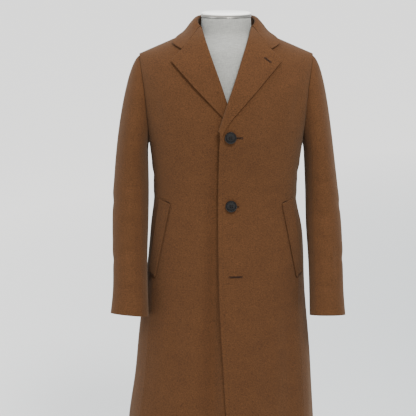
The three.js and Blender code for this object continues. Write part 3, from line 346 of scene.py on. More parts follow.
def raise_by(tree, shader, height, depth, strength=1):
    """Bump of a real depth in metres"""
    bump = add_node(tree, "ShaderNodeBump", {"Distance": depth, "Strength": strength}, {"Height": height})
    before = shader.inputs["Normal"].links
    if before:
        tree.links.new(before[0].from_socket, bump.inputs["Normal"])
    tree.links.new(bump.outputs[0], shader.inputs["Normal"])


def scaled(colour, by):
    return tuple(min(1, c * by) for c in colour)


def wool_material(cloth):
    # Melton, woven in twill, fulled and brushed: fully matt, with a soft felted nap that catches light at its
    # edge. A tuft of real nap is about 1 mm and wouldn't show, so it is drawn nearly three times as coarse.
    made, tree, shader, place = new_material(
        "melton_wool_brushed",
        Roughness=0.95,
        Sheen_Weight=0.09,
        Sheen_Roughness=0.5,
        Specular_IOR_Level=0.08,
    )
    shader.inputs["Sheen Tint"].default_value = (0.72, 0.55, 0.4, 1)
    # The colour follows the tufts' height, as the bump does: darker where the nap lies low, partly the wool's
    # own tone and partly painted shade between the tufts
    tufts = noise(tree, place, cloth.tuft, 4, (1, 1, 1.7))
    shade = between(tree, tufts, tuple(cloth.wool_dark_and_painted_shade), tuple(cloth.wool), 0.22, 0.62)
    clouds = noise(tree, place, 0.055, 3, (1, 1, 1.5))
    tone = between(tree, clouds, (0.95, 0.95, 0.95), (1.04, 1.04, 1.03))
    colour = add_node(
        tree, "ShaderNodeMix", {0: 1.0}, {6: shade, 7: tone}, data_type="RGBA", blend_type="MULTIPLY"
    )
    tree.links.new(colour.outputs[2], shader.inputs["Base Color"])
    raise_by(tree, shader, noise(tree, place, 0.009, 3), 0.0009, 0.6)
    raise_by(tree, shader, tufts, 0.0011, 0.8)
    return made


def lining_material(cloth):
    # Viscose lining, woven in satin: smooth with a soft gloss across its threads
    made, tree, shader, place = new_material(
        "viscose_satin_lining", Base_Color=tuple(cloth.lining), Roughness=0.42, Sheen_Weight=0.1
    )
    raise_by(tree, shader, noise(tree, place, 0.0016, 1, (1, 1, 0.15)), 0.0002, 0.5)
    return made


def thread_material(cloth):
    # Silk twist, two strands wound together: dark, with a faint slanting ribbing along it
    made, tree, shader, place = new_material("silk_twist_thread", Roughness=0.7, Specular_IOR_Level=0.15)
    strands = add_node(
        tree,
        "ShaderNodeTexWave",
        {"Scale": 900, "Distortion": 1.5},
        {"Vector": place},
        bands_direction="DIAGONAL",
    ).outputs["Fac"]
    colour = between(tree, strands, scaled(cloth.thread, 0.7), scaled(cloth.thread, 1.2))
    tree.links.new(colour, shader.inputs["Base Color"])
    raise_by(tree, shader, strands, 0.0002)
    return made


def horn_material(buttons):
    # Buffalo horn, turned and polished: near black with paler streaks and a wet gloss
    made, tree, shader, place = new_material(
        "polished_buffalo_horn", Roughness=0.2, Specular_IOR_Level=0.22
    )
    streaks = noise(tree, place, 0.006, 4, (0.5, 1, 2.6))
    colour = between(tree, streaks, tuple(buttons.horn), scaled(buttons.horn, 3), 0.45, 0.8)
    tree.links.new(colour, shader.inputs["Base Color"])
    raise_by(tree, shader, noise(tree, place, 0.0015, 2), 0.00006, 0.5)
    return made


def linen_material(form):
    # Plain-woven linen, stretched over the form: pale, matt, with slubs in both directions.
    # Its threads, about 0.5 mm apart, are drawn 1.6 mm apart to show.
    made, tree, shader, place = new_material("stretched_linen_cover", Roughness=0.88, Sheen_Weight=0.12)
    warp = noise(tree, place, 0.0016, 2, (1, 1, 0.12))
    weft = noise(tree, place, 0.0016, 2, (0.12, 0.12, 1))
    weave = add_node(tree, "ShaderNodeMath", operation="ADD", links={0: warp, 1: weft}).outputs[0]
    half = add_node(tree, "ShaderNodeMath", {1: 0.5}, {0: weave}, operation="MULTIPLY").outputs[0]
    colour = between(tree, half, scaled(form.linen, 0.84), scaled(form.linen, 1.1), 0.4, 0.6)
    tree.links.new(colour, shader.inputs["Base Color"])
    raise_by(tree, shader, half, 0.0004, 0.6)
    return made


def cap_material(form):
    # ABS, moulded: white with a satin skin and the faintest ripple
    made, tree, shader, place = new_material(
        "moulded_abs_white", Base_Color=tuple(form.cap), Roughness=0.38, IOR=1.53
    )
    raise_by(tree, shader, noise(tree, place, 0.02, 2), 0.0002, 0.4)
    return made


def band_material(form):
    # Nickel-plated brass, rolled: a soft mirror that goes dark where it turns away
    made, tree, shader, place = new_material(
        "rolled_nickel_plate", Base_Color=tuple(form.band), Roughness=0.28, Metallic=1
    )
    raise_by(tree, shader, noise(tree, place, 0.003, 2, (1, 1, 8)), 0.00008, 0.4)
    return made


def steel_material(form):
    # Stainless steel, brushed lengthways: grey metal with fine streaks that spread its highlights
    made, tree, shader, place = new_material(
        "brushed_stainless_steel", Base_Color=tuple(form.steel), Metallic=1, Anisotropic=0.4
    )
    grain = noise(tree, place, 0.0012, 2, (1, 1, 0.05))
    rough = add_node(
        tree, "ShaderNodeMapRange", {"To Min": 0.26, "To Max": 0.42}, {"Value": grain}
    ).outputs["Result"]
    tree.links.new(rough, shader.inputs["Roughness"])
    raise_by(tree, shader, grain, 0.00005, 0.5)
    return made


def floor_material(studio):
    # Painted plaster, rolled: pale and even, a little cooler and greyer towards the wearer's left. That
    # greyer patch is painted shade, standing in for the shade on the floor there.
    made, tree, shader, place = new_material("matt_paint_with_painted_shade", Roughness=0.95, Specular_IOR_Level=0.1)
    spread = add_node(
        tree,
        "ShaderNodeMapping",
        {"Location": (-4.2 / studio.shade, -1 / studio.shade, 0), "Scale": (1 / studio.shade,) * 3},
        {"Vector": place},
    )
    # Painted shade: a round patch about a spot to the wearer's left, darkest at its middle, where the floor
    # takes the shaded colour
    near = add_node(
        tree, "ShaderNodeTexGradient", links={"Vector": spread.outputs[0]}, gradient_type="SPHERICAL"
    ).outputs["Fac"]
    colour = between(tree, near, tuple(studio.floor), tuple(studio.floor_painted_shade), 0, 1)
    tree.links.new(colour, shader.inputs["Base Color"])
    raise_by(tree, shader, noise(tree, place, 0.02, 2), 0.0002, 0.2)
    return made


# Making and placing pieces


def deselect():
    if bpy.context.object and bpy.context.object.mode != "OBJECT":
        bpy.ops.object.mode_set(mode="OBJECT")
    bpy.ops.object.select_all(action="DESELECT")


def take(piece):
    """Makes a piece the only one selected, and the active one"""
    deselect()
    piece.select_set(True)
    bpy.context.view_layer.objects.active = piece
    return piece


def finished(piece, name, material, node=None):
    """Names a piece, gives it its finish, and lets it ride"""
    piece.name = name
    piece.data.name = name
    if material:
        piece.data.materials.clear()
        piece.data.materials.append(material)
    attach(piece, "root")
    if node:
        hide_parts(node)
    return piece


def points_of(mesh):
    flat = np.empty(len(mesh.vertices) * 3)
    mesh.vertices.foreach_get("co", flat)
    return flat.reshape(-1, 3)


def set_points(mesh, points):
    mesh.vertices.foreach_set("co", points.ravel())
    mesh.update()


def finer_copy(node, levels, rim):
    """A copy of a node's mesh: merged, in quads, with its rims creased, and subdivided"""
    mesh = nodes[node].data.copy()
    for name in ("custom_normal", "sharp_face", "sharp_edge"):
        if name in mesh.attributes:
            mesh.attributes.remove(mesh.attributes[name])
    while mesh.uv_layers:
        mesh.uv_layers.remove(mesh.uv_layers[0])
    piece = bpy.data.objects.new(node + "_cloth", mesh)
    bpy.context.scene.collection.objects.link(piece)
    shell = bmesh.new()
    shell.from_mesh(mesh)
    bmesh.ops.remove_doubles(shell, verts=shell.verts, dist=2e-5)
    bmesh.ops.join_triangles(
        shell,
        faces=shell.faces,
        angle_face_threshold=math.radians(45),
        angle_shape_threshold=math.radians(180),
        topology_influence=1.2,
    )
    crease = shell.edges.layers.float.new("crease_edge")
    for edge in shell.edges:
        if len(edge.link_faces) == 2 and edge.calc_face_angle() > math.radians(RIM_ANGLE):
            edge[crease] = rim
    shell.to_mesh(mesh)
    shell.free()
    mesh.polygons.foreach_set("use_smooth", [True] * len(mesh.polygons))
    take(piece)
    finer = piece.modifiers.new("finer", "SUBSURF")
    finer.levels = finer.render_levels = levels
    bpy.ops.object.modifier_apply(modifier=finer.name)
    return piece


def unit(vectors):
    return vectors / np.maximum(np.linalg.norm(vectors, axis=1, keepdims=True), 1e-9)


def body_outward(points):
    """Direction out of the body at each point, turning up over the shoulders"""
    out = np.empty_like(points)
    across, deep, upright = BODY_ROUND
    out[:, 0] = points[:, 0] / across**2
    out[:, 1] = points[:, 1] / deep**2
    out[:, 2] = np.maximum(0, points[:, 2] - CHEST * MM) / upright**2
    return unit(out)


def sleeve_outward(points, own):
    """Direction out of a sleeve at each point"""
    heights, left, right, deep = np.transpose(SLEEVE_AXIS) * MM
    middles = (left if own == "left" else right, deep)
    out = np.zeros_like(points)
    for k, (middle, radius) in enumerate(zip(middles, SLEEVE_ROUND)):
        out[:, k] = (points[:, k] - np.interp(points[:, 2], heights, middle)) / radius**2
    return unit(out)


def soft_path(corners, steps=14):
    """Points along a curve from the first to the last of three corners, through the middle one"""
    start, middle, end = (np.array(c, float) for c in corners)
    through = 2 * middle - (start + end) / 2
    t = np.linspace(0, 1, steps)[:, None]
    return (1 - t) ** 2 * start + 2 * t * (1 - t) * through + t**2 * end


def crease_height(points, outward, crease):
    """How far one crease moves each point in or out: a trough with a lower ridge along its upper side"""
    view, corners, breadth, depth = crease
    axes, looking = VIEWS[view]
    flat = points[:, axes] / MM
    path = soft_path(corners)
    best = np.full(len(flat), 1e9)
    along = np.zeros(len(flat))
    across = np.zeros(len(flat))
    for i, (a, b) in enumerate(zip(path[:-1], path[1:])):
        step = b - a
        length = np.hypot(*step)
        share = np.clip(((flat - a) @ step) / length**2, 0, 1)
        away = flat - a - share[:, None] * step
        distance = np.hypot(away[:, 0], away[:, 1])
        nearer = distance < best
        best = np.where(nearer, distance, best)
        along = np.where(nearer, (i + share) / (len(path) - 1), along)
        side = np.sign(step[0] * away[:, 1] - step[1] * away[:, 0])
        across = np.where(nearer, side * distance, across)
    first, widening = CREASE["width"]
    least, spread = CREASE["facing"]
    high, place, wide = CREASE["ridge"]
    fade = np.sin(np.pi * np.clip(along, *CREASE["ends"])) ** CREASE["fade"]
    width = breadth * (first + widening * along)
    facing = np.clip((outward @ np.array(looking) - least) / spread, 0, 1)
    trough = -np.exp(-((across / width) ** 2))
    ridge = high * np.exp(-(((across - place * width) / (wide * width)) ** 2))
    return depth * MM * fade * facing * (trough + ridge)


def creased(piece, creases, outward_of, amount):
    """Moves a piece's wall, both faces together, by all the creases that cross it"""
    points = points_of(piece.data)
    outward = outward_of(points)
    height = np.zeros(len(points))
    for crease in creases:
        height += crease_height(points, outward, crease)
    set_points(piece.data, points + outward * (amount * height)[:, None])


def close_centre_back(back, side):
    """Draws a back's edge to the other one's along the centre seam"""
    points = points_of(back.data)
    heights, places, halves = np.transpose(CENTRE_BACK)
    z = points[:, 2] / MM
    away = side * (points[:, 0] / MM - np.interp(z, heights, places))
    near = np.exp(-((away / BACK_GAP["reach"]) ** 2)) * (points[:, 1] > 0)
    gap = np.interp(z, heights, halves) * BACK_GAP["per_half_width"] - BACK_GAP["left"]
    points[:, 0] -= side * near * gap * MM
    set_points(back.data, points)


def stand_off(lapel, height):
    """Raises a lapel softly from its fold line to its outer edge"""
    points = points_of(lapel.data)
    fold = FOLD["slope"] * (points[:, 2] / MM - FOLD["low"])
    share = np.clip((np.abs(points[:, 0]) / MM - fold - FOLD["flat"]) / FOLD["rise"], 0, 1)
    set_points(lapel.data, points + body_outward(points) * (height * share)[:, None])


def line_inner_faces(piece, outward_of, from_edge=None):
    """Gives the faces that look inwards the piece's second material, except near the front edge"""
    faces = piece.data.polygons
    centres = np.array([f.center for f in faces])
    normals = np.array([f.normal for f in faces])
    inside = np.einsum("ij,ij->i", outward_of(centres), normals) < INWARD
    if from_edge is not None:
        edge = np.interp(centres[:, 2] / MM, *np.transpose(FRONT_EDGE))
        inside &= np.abs(centres[:, 0] / MM - edge) > from_edge
    faces.foreach_set("material_index", inside.astype(np.int32))
    piece.data.update()


def cloth_panel(node, outward_of, creases, flat, held, rests_on, area, facing=None, lined=True):
    """One cloth piece in the place of its solid"""
    cloth = bpy.context.scene.overcoat_cloth
    piece = finer_copy(node, CLOTH_LEVELS, cloth.rim)
    creased(piece, creases + EDGE_CREASES.get(node, []), outward_of, cloth.creases)
    finished(piece, node + "_cloth", bpy.data.materials["melton_wool_brushed"], node)
    if lined:
        piece.data.materials.append(bpy.data.materials["viscose_satin_lining"])
        line_inner_faces(piece, outward_of, facing)
    return piece


def side_panel(base, own, outward_of, creases, rests_on, **settings):
    """The left or right one of two panels that share a row in the table"""
    flat, areas, held = PANELS[base]
    return cloth_panel(base + "_" + own, outward_of, creases, flat, held, rests_on, areas[own], **settings)


def surface_tree(*names):
    """A tree of the faces of some finished pieces, to find points on them"""
    verts = []
    faces = []
    for name in names:
        mesh = bpy.data.objects[name].data
        start = len(verts)
        verts.extend(v.co.copy() for v in mesh.vertices)
        faces.extend([start + i for i in f.vertices] for f in mesh.polygons)
    return BVHTree.FromPolygons(verts, faces)


def seen_from_front(tree, x, z):
    """The point and normal of a surface where the front view shows x and z, in millimetres"""
    hit, normal, _, _ = tree.ray_cast(Vector((x * MM, -1, z * MM)), Vector((0, 1, 0)))
    if hit is None:
        raise RuntimeError(f"no cloth at {x:.0f}, {z:.0f}")
    return hit, normal if normal.y < 0 else -normal


def laid_on(tree, spots, lift):
    """Points over a surface, by a lift, where the front view shows the spots"""
    hits = [seen_from_front(tree, x, z) for x, z in spots]
    return [hit + normal * lift for hit, normal in hits]


def curve_piece(lines, thick, closed=False):
    """A mesh of round threads along lines of points"""
    curve = bpy.data.curves.new("thread", "CURVE")
    curve.dimensions = "3D"
    curve.bevel_depth = thick / 2
    curve.bevel_resolution = 1
    curve.use_fill_caps = True
    for line in lines:
        spline = curve.splines.new("POLY")
        spline.points.add(len(line) - 1)
        for point, place in zip(spline.points, line):
            point.co = (*place, 1)
        spline.use_cyclic_u = closed
    piece = bpy.data.objects.new("thread", curve)
    bpy.context.scene.collection.objects.link(piece)
    take(piece)
    bpy.ops.object.convert(target="MESH")
    piece = bpy.context.object
    piece.data.polygons.foreach_set("use_smooth", [True] * len(piece.data.polygons))
    return piece


def walk(line, pitch):
    """Points at equal distances along a line in the front view, with the direction there"""
    line = np.array(line, float)
    steps = np.hypot(*np.diff(line, axis=0).T)
    total = np.concatenate([[0], np.cumsum(steps)])
    for s in np.arange(pitch / 2, total[-1], pitch):
        x, z = (np.interp(s, total, line[:, k]) for k in (0, 1))
        x2, z2 = (np.interp(min(s + 0.5, total[-1]), total, line[:, k]) for k in (0, 1))
        x1, z1 = (np.interp(max(s - 0.5, 0), total, line[:, k]) for k in (0, 1))
        ahead = np.array([x2 - x1, z2 - z1])
        yield (x, z), ahead / max(np.hypot(*ahead), 1e-6)


def stitches(tree, lines, length, pitch, thick, sink=0.15):
    """Stitches along lines on a surface, each a short thread that dips in at both ends"""
    made = []
    for line in lines:
        for (x, z), ahead in walk(line, pitch / MM):
            reach = ahead * length / MM / 2
            middle, normal = seen_from_front(tree, x, z)
            start, _ = seen_from_front(tree, x - reach[0], z - reach[1])
            end, _ = seen_from_front(tree, x + reach[0], z + reach[1])
            deep = normal * thick * 0.6
            made.append([start - deep, middle + normal * thick * sink, end - deep])
    return curve_piece(made, thick)


def inset_line(line, inset, side):
    """The line moved sideways in the front view, to the left of its direction where side is 1"""
    line = np.array(line, float)
    ahead = np.gradient(line, axis=0)
    ahead /= np.hypot(*ahead.T)[:, None]
    return line + inset * side * np.stack([-ahead[:, 1], ahead[:, 0]], axis=1)


# Operators


class OVERCOAT_OT_studio(bpy.types.Operator):
    """Add the floor, the lights and the camera"""

    bl_idname = "overcoat.studio"
    bl_label = "Studio"

    def execute(self, context):
        studio = context.scene.overcoat_studio
        deselect()
        bpy.ops.mesh.primitive_plane_add(size=FLOOR["size"], location=(0, 0, FLOOR["height"]))
        floor = context.object
        floor.name = "studio_floor"
        floor.data.materials.append(floor_material(studio))
        for name, (place, size, share, colour) in LIGHTS.items():
            lamp = bpy.data.lights.new(name, "AREA")
            lamp.energy = studio.key * share
            lamp.size = size
            lamp.color = colour
            light = bpy.data.objects.new(name, lamp)
            light.location = place
            light.rotation_euler = (LIGHTS_AIM - Vector(place)).to_track_quat("-Z", "Y").to_euler()
            context.scene.collection.objects.link(light)
        world = bpy.data.worlds.new("soft_room")
        context.scene.world = world
        world.use_nodes = True
        tree = world.node_tree
        room = tree.nodes["Background"]
        room.inputs["Color"].default_value = (*linear("f4f7fb"), 1)
        look = add_node(tree, "ShaderNodeTexCoord").outputs["Generated"]
        height = add_node(tree, "ShaderNodeSeparateXYZ", links={0: look}).outputs["Z"]
        strength = add_node(
            tree, "ShaderNodeMapRange", {"To Min": studio.haze, "To Max": studio.sky}, {"Value": height}
        ).outputs["Result"]
        tree.links.new(strength, room.inputs["Strength"])
        camera = bpy.data.objects.new("camera", bpy.data.cameras.new("camera"))
        context.scene.collection.objects.link(camera)
        camera.data.lens = studio.lens
        camera.data.sensor_width = 36
        camera.location = studio.eye
        camera.rotation_euler = (math.pi / 2 - studio.tilt, 0, 0)
        context.scene.camera = camera
        return {"FINISHED"}


class OVERCOAT_OT_materials(bpy.types.Operator):
    """Make the materials that the pieces share"""

    bl_idname = "overcoat.materials"
    bl_label = "Materials"

    def execute(self, context):
        scene = context.scene
        wool_material(scene.overcoat_cloth)
        lining_material(scene.overcoat_cloth)
        thread_material(scene.overcoat_cloth)
        horn_material(scene.overcoat_buttons)
        linen_material(scene.overcoat_form)
        cap_material(scene.overcoat_form)
        band_material(scene.overcoat_form)
        steel_material(scene.overcoat_form)
        return {"FINISHED"}


class OVERCOAT_OT_body(bpy.types.Operator):
    """Make the fronts and backs of the coat"""

    bl_idname = "overcoat.body"
    bl_label = "Fronts and backs"

    def execute(self, context):
        for own in SIDES:
            side_panel("front", own, body_outward, BODY_CREASES, ["form_torso"], facing=UNLINED_EDGE)
            back = side_panel("back", own, body_outward, BODY_CREASES, ["form_torso"])
            close_centre_back(back, SIDES[own])
        return {"FINISHED"}


class OVERCOAT_OT_sleeves(bpy.types.Operator):
    """Make both sleeves, each of a top and an under panel"""

    bl_idname = "overcoat.sleeves"
    bl_label = "Sleeves"

    def execute(self, context):
        for own in SIDES:

            def outward(points, own=own):
                return sleeve_outward(points, own)

            side_panel("sleeve_top", own, outward, SLEEVE_CREASES[own], ["front_" + own])
            side_panel("sleeve_under", own, outward, SLEEVE_CREASES[own], ["back_" + own])
        return {"FINISHED"}


class OVERCOAT_OT_lapels(bpy.types.Operator):
    """Make the lapels and the collar"""

    bl_idname = "overcoat.lapels"
    bl_label = "Lapels and collar"

    def execute(self, context):
        for own in SIDES:
            lapel = side_panel("lapel", own, body_outward, [], ["front_" + own], lined=False)
            stand_off(lapel, context.scene.overcoat_cloth.stand_off)
        cloth_panel(
            "collar",
            body_outward,
            [],
            (0.44, 0.11),
            "folded",
            ["back_left", "back_right"],
            0.0322,
            lined=False,
        )
        return {"FINISHED"}


class OVERCOAT_OT_welts(bpy.types.Operator):
    """Make the two slanted pocket welts"""

    bl_idname = "overcoat.welts"
    bl_label = "Pocket welts"

    def execute(self, context):
        for own in SIDES:
            side_panel("pocket_welt", own, body_outward, BODY_CREASES, ["front_" + own], lined=False)
        return {"FINISHED"}


class OVERCOAT_OT_stitching(bpy.types.Operator):
    """Sew the pick stitches along the edges and round the pockets"""

    bl_idname = "overcoat.stitching"
    bl_label = "Pick stitches"

    def execute(self, context):
        cloth = context.scene.overcoat_cloth
        thread = bpy.data.materials["silk_twist_thread"]
        inset = cloth.inset / MM
        front = surface_tree("front_left_cloth")
        heights = np.arange(*STITCHED_EDGE)
        edge = np.stack([np.interp(heights, *np.transpose(FRONT_EDGE)) + inset, heights], axis=1)
        piece = stitches(front, [edge], cloth.stitch, cloth.pitch, cloth.twist * THREAD["edge"])
        finished(piece, "stitching_front_edge", thread)
        for own, side in SIDES.items():
            lapel = surface_tree("lapel_" + own + "_cloth")
            edge = LAPEL_EDGE[own]
            free = inset_line(edge[1:-1], inset, side)
            top = inset_line(edge[-2:], inset, side)
            corner = (free[-1] + top[0]) / 2 - np.array([side * inset * 0.4, 0])
            line = [*free[:-1], corner, top[-1]]
            piece = stitches(lapel, [line], cloth.stitch, cloth.pitch, cloth.twist * THREAD["edge"])
            finished(piece, "stitching_lapel_" + own, thread)
            pocket = surface_tree("front_" + own + "_cloth", "pocket_welt_" + own + "_cloth")
            seam = [(side * (x - 4), z) for x, z in WELT_FRONT]
            inner = [(side * (x + 6), z) for x, z in WELT_FRONT]
            top = [(side * x, z - 5) for x, z in WELT_TOP]
            thick = cloth.twist * THREAD["pocket"]
            piece = stitches(pocket, [seam, inner, top], cloth.stitch, cloth.pitch, thick)
            finished(piece, "stitching_pocket_" + own, thread)
        return {"FINISHED"}


def ring_on(tree, centre, half, breadth, turn, steps=10):
    """A long loop on a surface round a slit, in the front view"""
    loop = []
    for end in (1, -1):
        for i in range(steps + 1):
            angle = math.pi * (i / steps - 0.5)
            x = end * (half - breadth / 2 + breadth / 2 * math.cos(angle))
            z = end * breadth / 2 * math.sin(angle)
            loop.append((x, z))
    cos, sin = math.cos(turn), math.sin(turn)
    spots = [(centre[0] + x * cos - z * sin, centre[1] + x * sin + z * cos) for x, z in loop]
    return laid_on(tree, spots, LIFT["loop"])


class OVERCOAT_OT_buttonholes(bpy.types.Operator):
    """Sew the three worked buttonholes of the front and the one on the left lapel"""

    bl_idname = "overcoat.buttonholes"
    bl_label = "Buttonholes"

    def execute(self, context):
        cloth = context.scene.overcoat_cloth
        thread = bpy.data.materials["silk_twist_thread"]
        front = surface_tree("front_left_cloth")
        loops = []
        slit_shades = []
        bars = []
        for x, z, length in BUTTONHOLES:
            loops.append(ring_on(front, (x, z), length / 2, HOLE_BREADTH["front"], 0))
            # Painted shade: a dark thread along the cut stands in for the shadow down in the slit
            spots = [(x + share * length / 2.6, z) for share in (-1, -0.5, 0, 0.5, 1)]
            slit_shades.append(laid_on(front, spots, LIFT["slit"]))
            spots = [(x + length / 2, z + rise) for rise in (-HOLE_BAR, 0, HOLE_BAR)]
            bars.append(laid_on(front, spots, LIFT["bar"]))
        lapel = surface_tree("lapel_left_cloth")
        (x1, z1), (x2, z2) = LAPEL_HOLE
        middle = ((x1 + x2) / 2, (z1 + z2) / 2)
        half = math.hypot(x2 - x1, z2 - z1) / 2
        loops.append(ring_on(lapel, middle, half, HOLE_BREADTH["lapel"], math.atan2(z2 - z1, x2 - x1)))
        # Painted shade: a dark thread along the lapel hole's cut stands in for the shadow in its slit
        spots = [(x1 + (x2 - x1) * share, z1 + (z2 - z1) * share) for share in (0.12, 0.5, 0.88)]
        slit_shades.append(laid_on(lapel, spots, LIFT["slit"]))
        piece = curve_piece(loops, cloth.twist, closed=True)
        finished(piece, "buttonhole_twist", thread)
        # The slit threads are painted shade, dark lines for the shadow in the cuts
        piece = curve_piece(slit_shades, cloth.twist * THREAD["slit"])
        finished(piece, "buttonhole_slit_shade", thread)
        piece = curve_piece(bars, cloth.twist * THREAD["bar"])
        finished(piece, "buttonhole_bars", thread)
        tacks = []
        for own, side in SIDES.items():
            pocket = surface_tree("front_" + own + "_cloth", "pocket_welt_" + own + "_cloth")
            for (x1, z1), (x2, z2) in TACKS:
                shares = (0, 0.33, 0.66, 1)
                spots = [(side * (x1 + (x2 - x1) * share), z1 + (z2 - z1) * share) for share in shares]
                tacks.append(laid_on(pocket, spots, LIFT["loop"]))
        piece = curve_piece(tacks, cloth.twist)
        finished(piece, "pocket_bar_tacks", thread)
        return {"FINISHED"}


def stepped(steps):
    """Insets the selected faces and moves them up, once for each step's inset and rise"""
    for inset, rise in steps:
        bpy.ops.mesh.inset(thickness=inset)
        if rise:
            bpy.ops.transform.translate(value=(0, 0, rise))


def button_model(radius, thick, rim, hole):
    """A four-hole button, standing on the origin with its face up"""
    deselect()
    bpy.ops.mesh.primitive_cylinder_add(vertices=48, radius=radius, depth=thick, location=(0, 0, thick / 2))
    button = bpy.context.object
    bpy.ops.object.transform_apply(location=True, rotation=False, scale=False)
    bpy.ops.object.mode_set(mode="EDIT")
    bpy.ops.mesh.select_all(action="DESELECT")
    select_faces(button, lambda face: face.normal.z > 0.9)
    stepped([(radius * rim * inset, thick * rise) for inset, rise in BUTTON["rim"]])
    inset, rise = BUTTON["dish"]
    stepped([(radius * inset, thick * rise)])
    select_faces(button, lambda face: face.normal.z < -0.9)
    inset, rise = BUTTON["foot"]
    stepped([(radius * inset, thick * rise)])
    bpy.ops.object.mode_set(mode="OBJECT")
    place = radius * BUTTON["holes"]
    for x in (-1, 1):
        for y in (-1, 1):
            deselect()
            bpy.ops.mesh.primitive_cylinder_add(
                vertices=16,
                radius=radius * hole,
                depth=thick * 4,
                location=(x * place, y * place, 0),
            )
            drill = bpy.context.object
            take(button)
            cut = button.modifiers.new("hole", "BOOLEAN")
            cut.operation = "DIFFERENCE"
            cut.object = drill
            bpy.ops.object.modifier_apply(modifier=cut.name)
            bpy.data.objects.remove(drill)
    soften = button.modifiers.new("soften", "BEVEL")
    soften.width = radius * BUTTON["edge"]
    soften.segments = 2
    soften.limit_method = "ANGLE"
    soften.angle_limit = math.radians(32)
    bpy.ops.object.modifier_apply(modifier=soften.name)
    bpy.ops.object.shade_smooth_by_angle(angle=math.radians(34))
    return button


def select_faces(piece, wanted):
    """Selects the faces of a piece in edit mode that pass a test, and no others"""
    shell = bmesh.from_edit_mesh(piece.data)
    bpy.ops.mesh.select_mode(type="FACE")
    for face in shell.faces:
        face.select_set(bool(wanted(face)))
    bmesh.update_edit_mesh(piece.data)
    if not any(face.select for face in shell.faces):
        raise RuntimeError("no face passes the test")


def thread_model(radius, thick):
    """The threads of a button, two over each pair of its four holes"""
    reach = radius * BUTTON["holes"]
    low = thick * BUTTON_THREAD["low"]
    arch = Vector((0, 0, thick * BUTTON_THREAD["arch"]))
    lines = []
    for side in (-1, 1):
        top = Vector((side * reach, 0, thick * BUTTON_THREAD["top"]))
        for offset in (-BUTTON_THREAD["pair"], BUTTON_THREAD["pair"]):
            start = Vector((side * reach * (1 + offset), -reach, low))
            end = Vector((side * reach * (1 + offset), reach, low))
            lines.append([start, start.lerp(top, 0.75) + arch, top, end.lerp(top, 0.75) + arch, end])
    return curve_piece(lines, radius * BUTTON_THREAD["thick"])


def seat_of(node, outward):
    """The place on a button's axis under its face, the axis, its thickness and its radius"""
    points = np.unique(points_of(nodes[node].data).round(7), axis=0)
    centre = points.mean(axis=0)
    axis = np.linalg.svd(points - centre)[2][2]
    axis *= np.sign(axis @ outward)
    up = (points - centre) @ axis
    away = np.linalg.norm(points - centre - up[:, None] * axis, axis=1)
    return Vector(centre + axis * up.min()), Vector(axis), up.max() - up.min(), away.max()


class OVERCOAT_OT_buttons(bpy.types.Operator):
    """Make the horn buttons of the front and the cuffs, with their thread"""

    bl_idname = "overcoat.buttons"
    bl_label = "Buttons"

    def execute(self, context):
        buttons = context.scene.overcoat_buttons
        horn = bpy.data.materials["polished_buffalo_horn"]
        thread = bpy.data.materials["silk_twist_thread"]
        seats = {name: (0, -1, 0) for name in ("button_front_1", "button_front_2")}
        for own, side in SIDES.items():
            for i in range(1, 5):
                seats[f"button_cuff_{i}_{own}"] = (side, 0.6, 0)
        models = {}
        for node, outward in seats.items():
            base, axis, thick, radius = seat_of(node, np.array(outward, float))
            radius *= BUTTON["radius"]
            kind = "front" if "front" in node else "cuff"
            if kind not in models:
                high = thick * BUTTON["thick"]
                body = button_model(radius, high, buttons.rim, buttons.hole)
                models[kind] = (body, thread_model(radius, high))
            turn = axis.to_track_quat("Z", "Y").to_matrix().to_4x4()
            place = Matrix.Translation(base + axis * thick * BUTTON["lift"]) @ turn
            for model, name, material, slot in (
                (models[kind][0], node + "_horn", horn, "horn"),
                (models[kind][1], node + "_thread", thread, "wool"),
            ):
                mesh = model.data.copy()
                mesh.transform(place)
                piece = bpy.data.objects.new(name, mesh)
                context.scene.collection.objects.link(piece)
                finished(piece, name, material, node if slot == "horn" else None)
        for pair in models.values():
            for model in pair:
                bpy.data.objects.remove(model)
        return {"FINISHED"}


class OVERCOAT_OT_torso(bpy.types.Operator):
    """Make the dress form's linen torso and neck"""

    bl_idname = "overcoat.torso"
    bl_label = "Torso"

    def execute(self, context):
        piece = finer_copy("form_torso", 2, 0.9)
        points = points_of(piece.data)
        base = np.exp(-(((points[:, 2] / MM - NECK_BASE["height"]) / NECK_BASE["reach"]) ** 2))
        set_points(piece.data, points - body_outward(points) * (NECK_BASE["in"] * MM * base)[:, None])
        linen = bpy.data.materials["stretched_linen_cover"]
        finished(piece, "form_torso_linen", linen, "form_torso")
        return {"FINISHED"}


def round_piece(radius, low, high, centre_y=0, sides=96):
    """A cylinder between two heights, in edit mode"""
    deselect()
    bpy.ops.mesh.primitive_cylinder_add(
        vertices=sides, radius=radius, depth=high - low, location=(0, centre_y, (low + high) / 2)
    )
    bpy.ops.object.transform_apply(location=True, rotation=False, scale=False)
    bpy.ops.object.mode_set(mode="EDIT")
    return bpy.context.object


def softened(piece, width, segments=3, angle=30):
    """Leaves edit mode, rounds the sharp edges, and shades the piece smooth"""
    bpy.ops.object.mode_set(mode="OBJECT")
    take(piece)
    soften = piece.modifiers.new("soften", "BEVEL")
    soften.width = width
    soften.segments = segments
    soften.limit_method = "ANGLE"
    soften.angle_limit = math.radians(angle)
    bpy.ops.object.modifier_apply(modifier=soften.name)
    bpy.ops.object.shade_smooth_by_angle(angle=math.radians(35))
    return piece


